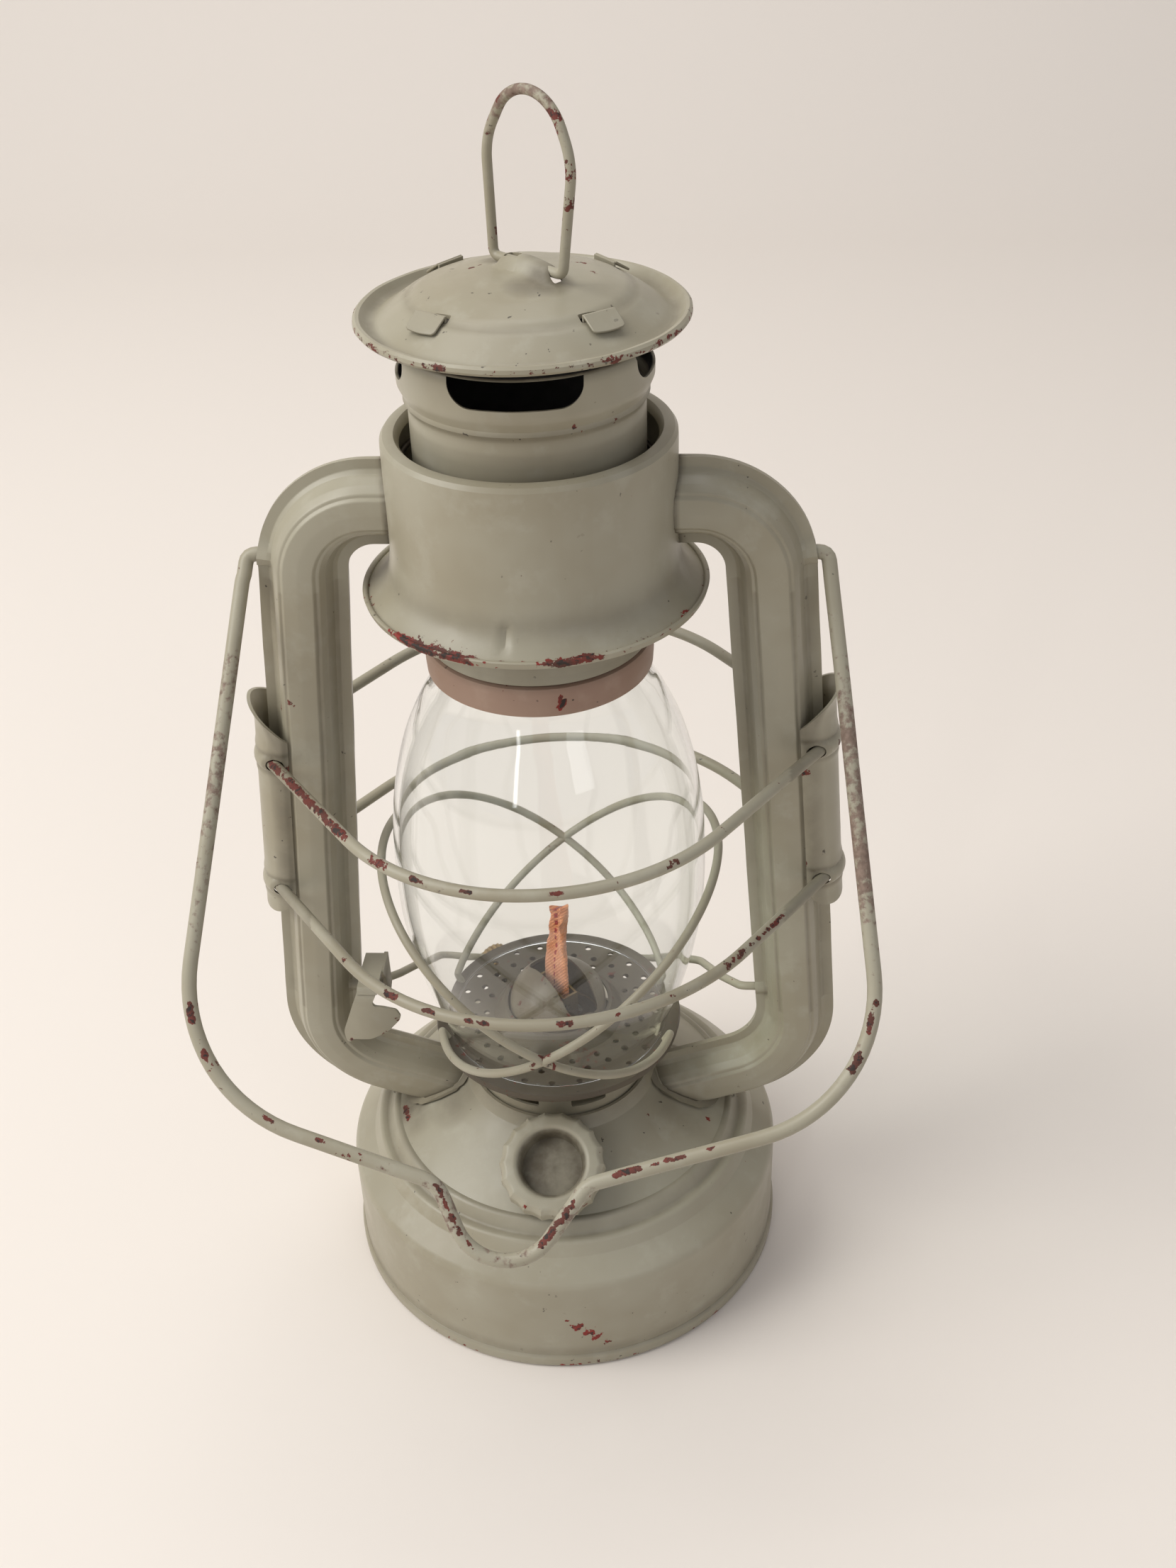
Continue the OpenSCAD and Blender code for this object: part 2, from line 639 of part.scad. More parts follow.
module upper_guard_hoop() {
    color(paint) guard_hoop(upper_hoop_z);
}

module lower_guard_hoop() {
    color(paint) guard_hoop(lower_hoop_z);
}

// The stretch of a hoop that a clip holds
module hoop_in_clip(z, d, reach) {
    c = hoop_corners(z);
    u = unit(c[3] - c[0]);
    w = unit(c[1] - c[0]);
    translate([0, 0, z]) wire([c[0] + reach * u, c[0], c[0] + reach * w], [0, 8, 0], d);
}

module clip_section(r0, r1) {
    spread = 96;
    translate([clip_axis, 0]) difference() {
        circle(r = r1);
        circle(r = r0);
        polygon([[0, 0], 30 * [cos(spread), sin(spread)], [-40, 30], [-40, -30], 30 * [cos(spread), -sin(spread)]]);
    }
}

function on_tube(z) = [tube_x(z), z];

module guard_clip() {
    flare_r = 2.6;
    lip_r = clip_r - 0.03;
    top = on_tube(clip_top_z);
    low = on_tube(clip_low_z);
    difference() {
        union() {
            upright() tube_run(top, low) clip_section(clip_r - clip_t, clip_r);
            // flared lip
            translate([top[0], 0, top[1]]) rotate([0, -splay, 0]) translate([clip_axis, 0, 0])
                rotate([0, 0, -80]) rotate_extrude(angle = 160) polygon(sheet_outline(
                    concat([[lip_r, -0.8]], arc([lip_r + flare_r, 0], flare_r, 180, 105, 4)), clip_t - 0.06));
            // raised beads over the two hoops
            for (z = [upper_hoop_z, lower_hoop_z]) hoop_in_clip(z, guard_d + 2 * clip_t, 10.5);
        }
        upright() tube_run(on_tube(clip_top_z + 9), on_tube(clip_low_z - 9)) circle_slot();
        for (z = [upper_hoop_z, lower_hoop_z]) hoop_in_clip(z, guard_d + 0.06 + 2 * running, 22);
        // slanted ends
        translate([top[0] + clip_axis + clip_r, 0, top[1] + 2]) rotate([0, -34, 0])
            translate([-30, -20, 0]) cube([60, 40, 20]);
        translate([low[0] + clip_axis, 0, low[1] + 1.2]) rotate([0, 24, 0])
            translate([-30, -20, -20]) cube([60, 40, 20]);
    }
}

module circle_slot() {
    translate([clip_axis, 0]) circle(r = clip_r - clip_t - 0.01);
}

module right_guard_clip() {
    color(paint) guard_clip();
}

module left_guard_clip() {
    color(paint) rotate([0, 0, 180]) guard_clip();
}

// ---- globe lift ----
module crank_wire(d) {
    arm = norm([crank_back[0], crank_back[1] - crank_z]);
    p = [[crank_tip, 0], [49, 0], [38, arm], [-38, arm], [-49, 0], [-crank_tip, 0]];
    translate([0, 0, crank_z]) rotate([atan2(crank_back[1] - crank_z, crank_back[0]), 0, 0])
        wire(p, [0, 3, 5, 5, 3, 0], d);
}

module lift_crank() {
    color(paint_dark) crank_wire(crank_d);
}

module lift_lever() {
    leaf = 1;
    color(paint) difference() {
        union() {
            // hub on the crank
            translate([-51.6, 0, crank_z]) rotate([0, 90, 0]) cylinder(r = 2.1, h = 4.6, $fn = 32);
            // upright finger
            translate([-51, 0, 0]) rotate([90, 0, 90]) linear_extrude(leaf) polygon([[-1.6, crank_z],
                [1.8, crank_z + 0.4], [0.8, crank_z + 9], [-1.4, crank_z + 10.4], [-9, crank_z + 9.6],
                [-14.6, crank_z + 6.6], [-15.6, crank_z + 2], [-6, crank_z - 1.6]]);
            // thumb leaf
            translate([0, -14.6, crank_z]) rotate([90, 0, 0]) linear_extrude(leaf) polygon([[-51, 9.6],
                [-54, 2], [-55, -7.6], [-52, -7.8], [-42, -4], [-35.4, 1.2], [-34.2, 4.2], [-36, 6],
                [-43, 5.4], [-49.6, 6.4], [-50, 9]]);
        }
        crank_wire(crank_d + 0.04);
    }
}

// ---- bail ----
module bail() {
    top = 65.5;
    corner = [82.4, 122];
    p = [[bail_tip, 0], [top, 0], corner, [12.4, 141.2], [0.5, 158.2],
        [-14, 158.2], [-21.5, 141.2], [-corner[0], corner[1]], [-top, 0], [-bail_tip, 0]];
    color(paint_dark) translate([0, 0, bail_z]) rotate([90 - bail_rest, 0, 0]) mirror([0, 1, 0])
        wire(p, [0, 2, 58, 6, 10.5, 10.5, 6, 40, 2, 0], bail_d);
}

// ---- chimney unit ----
bulge_path = concat([[chimney_r, ring_top_z + 0.1], [chimney_r, bulge_low_z - 1.2], [chimney_r + 0.9, bulge_low_z - 0.5],
    [chimney_r + 0.7, bulge_low_z + 0.3]], arc([bulge_r - 4, bulge_low_z + 4.6], 4, -50, 0, 6),
    [[bulge_r, 259.6]], arc([bulge_r - 4, 259.6], 4, 10, 80, 6), [[16, chimney_top_z]]);

module chimney_tube() {
    corner = 4.2;
    color(paint) difference() {
        union() {
            rotate_extrude() polygon(sheet_outline(bulge_path, 0.7));
            // spring seat
            rotate_extrude() polygon([[chimney_r - 0.1, 205.2], [30.4, 205.2], [30.4, 206.2], [chimney_r - 0.1, 206.2]]);
            // folded tabs that hold the canopy
            ring_of(4, tab_turn + 2) translate([0, -tab_w / 2, 0]) rotate([90, 0, 0]) mirror([0, 0, 1])
                linear_extrude(tab_w) polygon([[21.6, 263.2], [22.2, 263.2], [22.2, 271.2], [23.2, 272.2],
                    [27.8, 269.3], [28.1, 269.8], [23.2, 272.9], [21.6, 271.6]]);
        }
        ring_of(4) translate([0, 0, window_low_z]) rotate([90, 0, 90]) linear_extrude(40) union() {
            translate([-window_w / 2 + corner, 0]) square([window_w - 2 * corner, corner + 1]);
            translate([-window_w / 2, corner]) square([window_w, 1.6]);
            for (s = [-1, 1]) translate([s * (window_w / 2 - corner), corner]) circle(r = corner, $fn = 32);
        }
    }
}

canopy_path = concat(arc([canopy_r - 1.3, canopy_z], 1.3, -100, 100, 10),
    [[valley_r + 1.2, valley_z + 0.1], [valley_r, valley_z], [crease_r + 0.6, crease_z - 0.3],
    [crease_r - 0.6, crease_z + 0.1]],
    [for (k = [1:6]) let(r = crease_r * (1 - k / 6)) [r, crown_z - (crown_z - crease_z - 0.3) * pow(r / crease_r, 2)]]);

module canopy() {
    color(paint) difference() {
        union() {
            rotate_extrude() polygon(to_axis(sheet_outline(canopy_path, 0.7)));
            // bridge that carries the hanging ring's feet
            rotate([0, 0, ring_turn]) translate([ring_centre - bridge_half, 0, ring_pin_z]) rotate([0, 90, 0])
                cylinder(r = 2.1, h = 2 * bridge_half, $fn = 32);
            rotate([0, 0, ring_turn]) translate([ring_centre - bridge_half, -2.1, 274.2])
                cube([2 * bridge_half, 4.2, ring_pin_z - 274.2]);
        }
        rotate([0, 0, ring_turn]) translate([ring_centre - 20, 0, ring_pin_z]) rotate([0, 90, 0])
            cylinder(r = ring_d / 2 + running, h = 40, $fn = 32);
        // pierced opening through the bridge
        rotate([0, 0, ring_turn]) translate([ring_centre - 2.2, -5, 270]) cube([4.4, 10, 12]);
        // slots for the chimney's tabs
        ring_of(4, tab_turn + 2) translate([21.4, -tab_w / 2 - 0.2, 260]) cube([2, tab_w + 0.4, 20]);
        ring_of(4, tab_turn + 2) translate([0, -tab_w / 2 - 0.2, 0]) rotate([90, 0, 0]) mirror([0, 0, 1])
            linear_extrude(tab_w + 0.4) polygon([[21.4, 271], [23.2, 272], [27.8, 269.1], [28.4, 269.9],
                [23.2, 275], [21.4, 275]]);
    }
}

module ring_handle() {
    foot = 9.8;
    p = [[bridge_half - 4.4, 0], [foot, 0], [12.6, 22], [0, 45], [-12.6, 22], [-foot, 0], [4.4 - bridge_half, 0]];
    color(paint_dark) rotate([0, 0, ring_turn]) translate([ring_centre, 0, ring_pin_z]) upright()
        wire(p, [0, 1.6, 12, 9.4, 12, 1.6, 0], ring_d);
}

module globe_collar() {
    color(bare_pink) rotate_extrude() polygon(sheet_outline([[collar_r, collar_low_z],
        [collar_r + 0.15, collar_low_z + 3], [collar_r, collar_top_z - 1], [collar_r - 0.7, collar_top_z],
        [chimney_r - 0.75, collar_top_z]], 0.6));
}

module collar_ring() {
    color(paint) difference() {
        rotate_extrude() polygon([[chimney_r - 0.8, ring_low_z], [chimney_r + 0.6, ring_low_z],
            [chimney_r + 0.2, ring_low_z + 2.2], [chimney_r, ring_top_z], [chimney_r - 0.8, ring_top_z]]);
        ring_of(16, 11.25) translate([chimney_r, 0, 200]) rotate([0, 90, 0])
            cylinder(r = 1.1, h = 6, center = true, $fn = 24);
    }
}

function helix(t) = let(a = 360 * spring_turns * t) [28.4 * cos(a), 28.4 * sin(a),
    spring_low_z + (spring_top_z - spring_low_z) * t];

module chimney_spring() {
    rings = 96;
    sides = 6;
    ends = [for (i = [0:rings]) let(t = i / rings, c = helix(t), a = 360 * spring_turns * t)
        for (k = [0:sides - 1]) let(b = 360 * k / sides) c + spring_wire / 2 * [cos(b) * cos(a), cos(b) * sin(a), sin(b)]];
    faces = concat([[for (k = [0:sides - 1]) k]],
        [for (i = [0:rings - 1], k = [0:sides - 1]) let(n = (k + 1) % sides)
            [i * sides + k, (i + 1) * sides + k, (i + 1) * sides + n, i * sides + n]],
        [[for (k = [sides - 1:-1:0]) rings * sides + k]]);
    color([0.5, 0.5, 0.5]) polyhedron(ends, faces, convexity = 8);
}

tank_shell();
tank_bottom();
air_dome();
filler_neck();
filler_cap();
cap_seal();
burner_collar();
burner_body();
burner_gallery();
wick_tube();
wick();
wick_shaft();
wick_wheels();
wick_knob();
burner_cone();
globe_plate();
globe();
cross_hoop_right();
cross_hoop_left();
left_tube_front();
left_tube_rear();
right_tube_front();
right_tube_rear();
left_tube_foot();
right_tube_foot();
air_chamber();
left_guard_clip();
right_guard_clip();
upper_guard_hoop();
lower_guard_hoop();
lift_crank();
lift_lever();
bail();
chimney_tube();
canopy();
ring_handle();
globe_collar();
collar_ring();
chimney_spring();
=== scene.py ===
import math
import bpy
import bmesh
import numpy as np
from mathutils import Vector, Matrix, noise


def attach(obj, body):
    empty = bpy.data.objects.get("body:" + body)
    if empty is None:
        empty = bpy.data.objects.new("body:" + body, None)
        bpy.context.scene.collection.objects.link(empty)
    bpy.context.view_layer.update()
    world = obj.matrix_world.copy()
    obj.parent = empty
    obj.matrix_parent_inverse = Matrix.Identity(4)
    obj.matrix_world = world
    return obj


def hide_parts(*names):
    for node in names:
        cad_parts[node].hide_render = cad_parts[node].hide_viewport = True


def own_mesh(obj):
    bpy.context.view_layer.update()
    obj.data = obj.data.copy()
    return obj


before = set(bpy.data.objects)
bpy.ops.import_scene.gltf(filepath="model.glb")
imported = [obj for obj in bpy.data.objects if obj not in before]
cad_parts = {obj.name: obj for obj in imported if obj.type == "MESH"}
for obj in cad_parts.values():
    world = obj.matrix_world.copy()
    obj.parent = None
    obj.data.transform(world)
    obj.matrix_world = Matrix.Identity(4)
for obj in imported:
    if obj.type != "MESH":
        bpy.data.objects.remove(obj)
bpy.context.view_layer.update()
MM = 0.001
noise.seed_set(11)
scene = bpy.context.scene


# ---------------------------------------------------------------- numbers shared with the CAD (mm)
SHEET = 0.8
WALL_R = 59.3
DOME_R0, DOME_Z0, DOME_R1, DOME_SLOPE = 45.6, 42.9, 25.2, math.radians(29.6)
UPPER_C, UPPER_R = np.array([36.0, 207.0]), 17.0
LOWER_C, LOWER_R = np.array([41.8, 75.2]), 21.75
_dx, _dz = LOWER_C[0] - UPPER_C[0], UPPER_C[1] - LOWER_C[1]
SPLAY = math.atan2(_dx, _dz) + math.asin((LOWER_R - UPPER_R) / math.hypot(_dx, _dz))
FOOT_DIR = math.radians(20)
UP_END = UPPER_C + UPPER_R * np.array([math.cos(SPLAY), math.sin(SPLAY)])
BAIL_Z, CRANK_Z = 211.0, 82.5
HOOPS = (160.6, 122.8)
WICK_TURN = math.radians(-51.5)
RING_TURN = math.radians(-42)


def tube_x(z):
    return UP_END[0] + (UP_END[1] - z) * math.tan(SPLAY)


def hoop_tilt(x, y):
    """The guard hoops sit a little higher on the right and at the rear."""
    return 0.034 * x + 0.036 * y


def dome_z(r):
    return DOME_Z0 + (DOME_R0 - r) * math.tan(DOME_SLOPE)


# ---------------------------------------------------------------- mesh helpers
def unit(v):
    v = np.asarray(v, float)
    return v / np.linalg.norm(v)


def rounded(pts, n=6, limit=0.49):
    """Polyline through corners (x, y[, z], radius), each corner turned on an arc."""
    p = [np.array(q[:-1], float) for q in pts]
    r = [q[-1] for q in pts]
    out = [p[0]]
    for i in range(1, len(p) - 1):
        if r[i] <= 0:
            out.append(p[i])
            continue
        a, b = unit(p[i - 1] - p[i]), unit(p[i + 1] - p[i])
        half = math.acos(np.clip(a @ b, -1, 1)) / 2
        back = min(r[i] / math.tan(half), limit * np.linalg.norm(p[i - 1] - p[i]),
                   limit * np.linalg.norm(p[i + 1] - p[i]))
        rad = back * math.tan(half)
        c = p[i] + unit(a + b) * rad / math.sin(half)
        s, e = p[i] + a * back - c, p[i] + b * back - c
        turn = math.acos(np.clip(unit(s) @ unit(e), -1, 1))
        for k in range(n + 1):
            t = k / n
            out.append(c + (math.sin((1 - t) * turn) * s + math.sin(t * turn) * e) / math.sin(turn))
    out.append(p[-1])
    return np.array(out)


def resample(p, step, loop=False):
    p = np.asarray(p, float)
    if loop:
        p = np.vstack([p, p[:1]])
    d = np.r_[0, np.cumsum(np.linalg.norm(np.diff(p, axis=0), axis=1))]
    n = max(2, int(round(d[-1] / step)) + 1)
    s = np.linspace(0, d[-1], n)
    q = np.stack([np.interp(s, d, p[:, k]) for k in range(p.shape[1])], 1)
    return q[:-1] if loop else q


def smooth_path(p, n=8):
    """Catmull-Rom curve through the points."""
    p = np.asarray(p, float)
    out = []
    for i in range(len(p) - 1):
        a, b, c, d = p[max(i - 1, 0)], p[i], p[i + 1], p[min(i + 2, len(p) - 1)]
        for k in range(n):
            t = k / n
            out.append(0.5 * (2 * b + (c - a) * t + (2 * a - 5 * b + 4 * c - d) * t * t + (3 * b - 3 * c + d - a) * t ** 3))
    out.append(p[-1])
    return np.array(out)


def offset(p, t):
    """The 2-D polyline moved to its left by t, with mitred corners."""
    p = np.asarray(p, float)
    d = np.diff(p, axis=0)
    n = np.stack([-d[:, 1], d[:, 0]], 1) / np.linalg.norm(d, axis=1)[:, None]
    a, b = np.vstack([n[:1], n]), np.vstack([n, n[-1:]])
    m = a + b
    m /= np.maximum(np.linalg.norm(m, axis=1), 1e-9)[:, None]
    return p + t * m / np.clip((m * b).sum(1), 0.35, None)[:, None]


def sheet(p, t):
    """Closed outline of a sheet with its outer face on p and its thickness to the left."""
    q = offset(p, t)
    return np.vstack([p, q[::-1]])


def make(name, verts, faces, body, slot, nodes=(), sharp=32, scale=MM):
    me = bpy.data.meshes.new(name)
    me.from_pydata((np.asarray(verts, float) * scale).tolist(), [], [list(map(int, f)) for f in faces])
    me.validate()
    bm = bmesh.new()
    bm.from_mesh(me)
    bmesh.ops.remove_doubles(bm, verts=bm.verts, dist=1e-6)
    bmesh.ops.recalc_face_normals(bm, faces=bm.faces)
    bm.to_mesh(me)
    bm.free()
    me.polygons.foreach_set("use_smooth", [True] * len(me.polygons))
    me.set_sharp_from_angle(angle=math.radians(sharp))
    ob = bpy.data.objects.new(name, me)
    scene.collection.objects.link(ob)
    if body:
        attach(ob, body)
        if nodes:
            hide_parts(*nodes)
    return ob


def grid_faces(rows, cols, close_rows=False, close_cols=False):
    f = []
    for i in range(rows if close_rows else rows - 1):
        for j in range(cols if close_cols else cols - 1):
            a, b = i * cols + j, i * cols + (j + 1) % cols
            c, d = ((i + 1) % rows) * cols + (j + 1) % cols, ((i + 1) % rows) * cols + j
            f.append((a, b, c, d))
    return f


def revolve(outline, seg=180, wobble=None):
    """Solid of revolution of a closed (r, z) outline; wobble(angle, r, z) adds to the radius."""
    o = np.asarray(outline, float)
    ang = np.linspace(0, 2 * math.pi, seg, endpoint=False)
    v = []
    for a in ang:
        r = o[:, 0] + (wobble(a, o[:, 0], o[:, 1]) if wobble else 0)
        v.append(np.stack([r * math.cos(a), r * math.sin(a), o[:, 1]], 1))
    return np.vstack(v), grid_faces(seg, len(o), True, True)


def frames_along(p, loop):
    nxt, prv = np.roll(p, -1, 0), np.roll(p, 1, 0)
    t = nxt - prv
    if not loop:
        t[0], t[-1] = p[1] - p[0], p[-1] - p[-2]
    t /= np.linalg.norm(t, axis=1)[:, None]
    ref = np.array([0, 0, 1.0]) if abs(t[0][2]) < 0.9 else np.array([0, 1.0, 0])
    u = [unit(np.cross(t[0], ref))]
    for k in range(1, len(p)):
        w = u[-1] - t[k] * (u[-1] @ t[k])
        u.append(unit(w))
    u = np.array(u)
    return t, u, np.cross(t, u)


def wire(p, radius, sides=20, loop=False, step=0.8):
    """Round wire along the points; radius is a number or a function of the run from 0 to 1."""
    p = resample(p, step, loop)
    t, u, w = frames_along(p, loop)
    a = np.linspace(0, 2 * math.pi, sides, endpoint=False)
    v = []
    for k in range(len(p)):
        r = radius(k / (len(p) - 1)) if callable(radius) else radius
        v.append(p[k] + r * (np.cos(a)[:, None] * u[k] + np.sin(a)[:, None] * w[k]))
    v = np.vstack(v)
    f = grid_faces(len(p), sides, loop, True)
    if not loop:
        f.append(tuple(range(sides - 1, -1, -1)))
        f.append(tuple(range((len(p) - 1) * sides, len(p) * sides)))
    return v, f


def join(*meshes):
    v, f, n = [], [], 0
    for a, b in meshes:
        v.append(a)
        f += [tuple(i + n for i in q) for q in b]
        n += len(a)
    return np.vstack(v), f


def plate(outline, t):
    """Flat plate: a closed (x, y) outline from z = 0 to t, with its faces as single polygons."""
    o = np.asarray(outline, float)
    n = len(o)
    v = np.vstack([np.c_[o, np.zeros(n)], np.c_[o, np.full(n, t)]])
    f = [tuple(range(n - 1, -1, -1)), tuple(range(n, 2 * n))]
    f += [(i, (i + 1) % n, n + (i + 1) % n, n + i) for i in range(n)]
    return v, f


def placed(mesh, m):
    v, f = mesh
    m = np.array(m)
    return v @ m[:3, :3].T + m[:3, 3], f


def cut(ob, *groups):
    """Takes groups of separate tool meshes away from a piece, then removes the tools."""
    for tools in groups:
        v, f = join(*tools)
        tool = make(ob.name + "_tool", v, f, None, None)
        mod = ob.modifiers.new("cut", "BOOLEAN")
        mod.operation, mod.solver, mod.object = "DIFFERENCE", "MANIFOLD", tool
        dg = bpy.context.evaluated_depsgraph_get()
        me = bpy.data.meshes.new_from_object(ob.evaluated_get(dg))
        ob.modifiers.clear()
        old = ob.data
        ob.data = me
        bpy.data.meshes.remove(old)
        bpy.data.objects.remove(tool)
    me.polygons.foreach_set("use_smooth", [True] * len(me.polygons))
    me.set_sharp_from_angle(angle=math.radians(32))
    return ob


def bevel(ob, width, segments=2, angle=32):
    mod = ob.modifiers.new("bevel", "BEVEL")
    mod.width, mod.segments = width * MM, segments
    mod.limit_method, mod.angle_limit = "ANGLE", math.radians(angle)
    mod.harden_normals = False
    return ob


def capsule_box(lo, hi, r, n=5):
    """Box with its four upright edges rounded, as an outline in X-Y."""
    pts = []
    for cx, cy, a0 in ((hi[0] - r, hi[1] - r, 0), (lo[0] + r, hi[1] - r, 90), (lo[0] + r, lo[1] + r, 180), (hi[0] - r, lo[1] + r, 270)):
        for k in range(n + 1):
            a = math.radians(a0 + 90 * k / n)
            pts.append((cx + r * math.cos(a), cy + r * math.sin(a)))
    return pts


def rot(axis, deg):
    return np.array(Matrix.Rotation(math.radians(deg), 4, axis))


def move(x, y, z):
    return np.array(Matrix.Translation((x, y, z)))


def ripple(v, amount, size, seed=0.0):
    """Moves each vertex a little, so pressed sheet isn't perfectly even."""
    out = np.array(v, float)
    for i, p in enumerate(v):
        q = Vector((p[0] / size + seed, p[1] / size, p[2] / size))
        out[i] += amount * np.array(noise.noise_vector(q))
    return out


def paint_marks(ob, **layers):
    """Stores float layers on the vertices, each from a function of the point in mm."""
    me = ob.data
    n = len(me.vertices)
    co = np.zeros(n * 3, np.float32)
    me.vertices.foreach_get("co", co)
    co = co.reshape(-1, 3) / MM
    for name, fn in layers.items():
        at = me.attributes.get(name) or me.attributes.new(name, "FLOAT", "POINT")
        at.data.foreach_set("value", np.clip(np.asarray(fn(co), np.float32) * np.ones(n, np.float32), 0, 2))
    return ob


def near(co, spots):
    """Falls from 1 at each spot (x, y, z, radius[, strength]) to 0 at its radius."""
    out = np.zeros(len(co))
    for s in spots:
        d = np.linalg.norm(co - np.array(s[:3]), axis=1)
        k = s[4] if len(s) > 4 else 1.0
        out = np.maximum(out, k * np.clip(1 - (d / s[3]) ** 2, 0, 1))
    return out


def dashes(co, runs):
    """Like near, along short lines: each run is two ends, a radius and a strength."""
    out = np.zeros(len(co))
    for a, b, radius, k in runs:
        a, b = np.array(a, float), np.array(b, float)
        t = np.clip((co - a) @ (b - a) / max(1e-6, (b - a) @ (b - a)), 0, 1)
        d = np.linalg.norm(co - a - t[:, None] * (b - a), axis=1)
        out = np.maximum(out, k * np.clip(1 - (d / radius) ** 2, 0, 1))
    return out


# ---------------------------------------------------------------- materials
def rgb(r, g, b):
    """sRGB 0-255 to linear."""
    def lin(c):
        c /= 255
        return c / 12.92 if c <= 0.04045 else ((c + 0.055) / 1.055) ** 2.4
    return (lin(r), lin(g), lin(b), 1.0)


class Nodes:
    def __init__(self, name):
        self.mat = bpy.data.materials.new(name)
        self.mat.use_nodes = True
        self.t = self.mat.node_tree
        self.t.nodes.clear()
        self.out = self.t.nodes.new("ShaderNodeOutputMaterial")
        self.coord = self.t.nodes.new("ShaderNodeTexCoord").outputs["Object"]

    def put(self, socket, value):
        if isinstance(value, bpy.types.NodeSocket):
            self.t.links.new(value, socket)
        else:
            socket.default_value = value

    def noise(self, scale, detail=3.0, rough=0.55, vec=None, stretch=None):
        if stretch:
            m = self.t.nodes.new("ShaderNodeMapping")
            self.put(m.inputs["Vector"], vec or self.coord)
            m.inputs["Scale"].default_value = stretch
            vec = m.outputs[0]
        n = self.t.nodes.new("ShaderNodeTexNoise")
        self.put(n.inputs["Vector"], vec or self.coord)
        n.inputs["Scale"].default_value = scale
        n.inputs["Detail"].default_value = detail
        n.inputs["Roughness"].default_value = rough
        return n.outputs["Fac"]

    def math(self, op, a, b=0.0, clamp=False):
        n = self.t.nodes.new("ShaderNodeMath")
        n.operation, n.use_clamp = op, clamp
        self.put(n.inputs[0], a)
        self.put(n.inputs[1], b)
        return n.outputs[0]

    def ramp(self, fac, lo, hi, a=0.0, b=1.0):
        n = self.t.nodes.new("ShaderNodeMapRange")
        n.interpolation_type = "SMOOTHSTEP"
        self.put(n.inputs["Value"], fac)
        for k, v in zip(("From Min", "From Max", "To Min", "To Max"), (lo, hi, a, b)):
            n.inputs[k].default_value = v
        return n.outputs[0]

    def mix(self, fac, a, b, mode="MIX"):
        n = self.t.nodes.new("ShaderNodeMix")
        n.data_type, n.blend_type, n.clamp_factor = "RGBA", mode, True
        self.put(n.inputs[0], fac)
        self.put(n.inputs[6], a)
        self.put(n.inputs[7], b)
        return n.outputs[2]

    def attr(self, name):
        n = self.t.nodes.new("ShaderNodeAttribute")
        n.attribute_name = name
        return n.outputs["Fac"]

    def bump(self, height, strength, distance, normal=None):
        n = self.t.nodes.new("ShaderNodeBump")
        n.inputs["Strength"].default_value = strength
        n.inputs["Distance"].default_value = distance
        self.put(n.inputs["Height"], height)
        if normal:
            self.put(n.inputs["Normal"], normal)
        return n.outputs[0]

    def shader(self, **inputs):
        n = self.t.nodes.new("ShaderNodeBsdfPrincipled")
        for k, v in inputs.items():
            self.put(n.inputs[k.replace("_", " ")], v)
        self.t.links.new(n.outputs[0], self.out.inputs["Surface"])
        return n


PAINT = rgb(160, 154, 135)
PAINT_WARM = rgb(150, 142, 121)
PAINT_PALE = rgb(171, 166, 149)
PRIMER = rgb(134, 38, 30)
RUST = rgb(106, 46, 36)
BROWN = rgb(98, 72, 62)
DARK = rgb(48, 38, 33)
# Brown for dirt and for painted shade in grooves, joints and hollows.
GRIME_AND_SHADE = rgb(88, 79, 63)


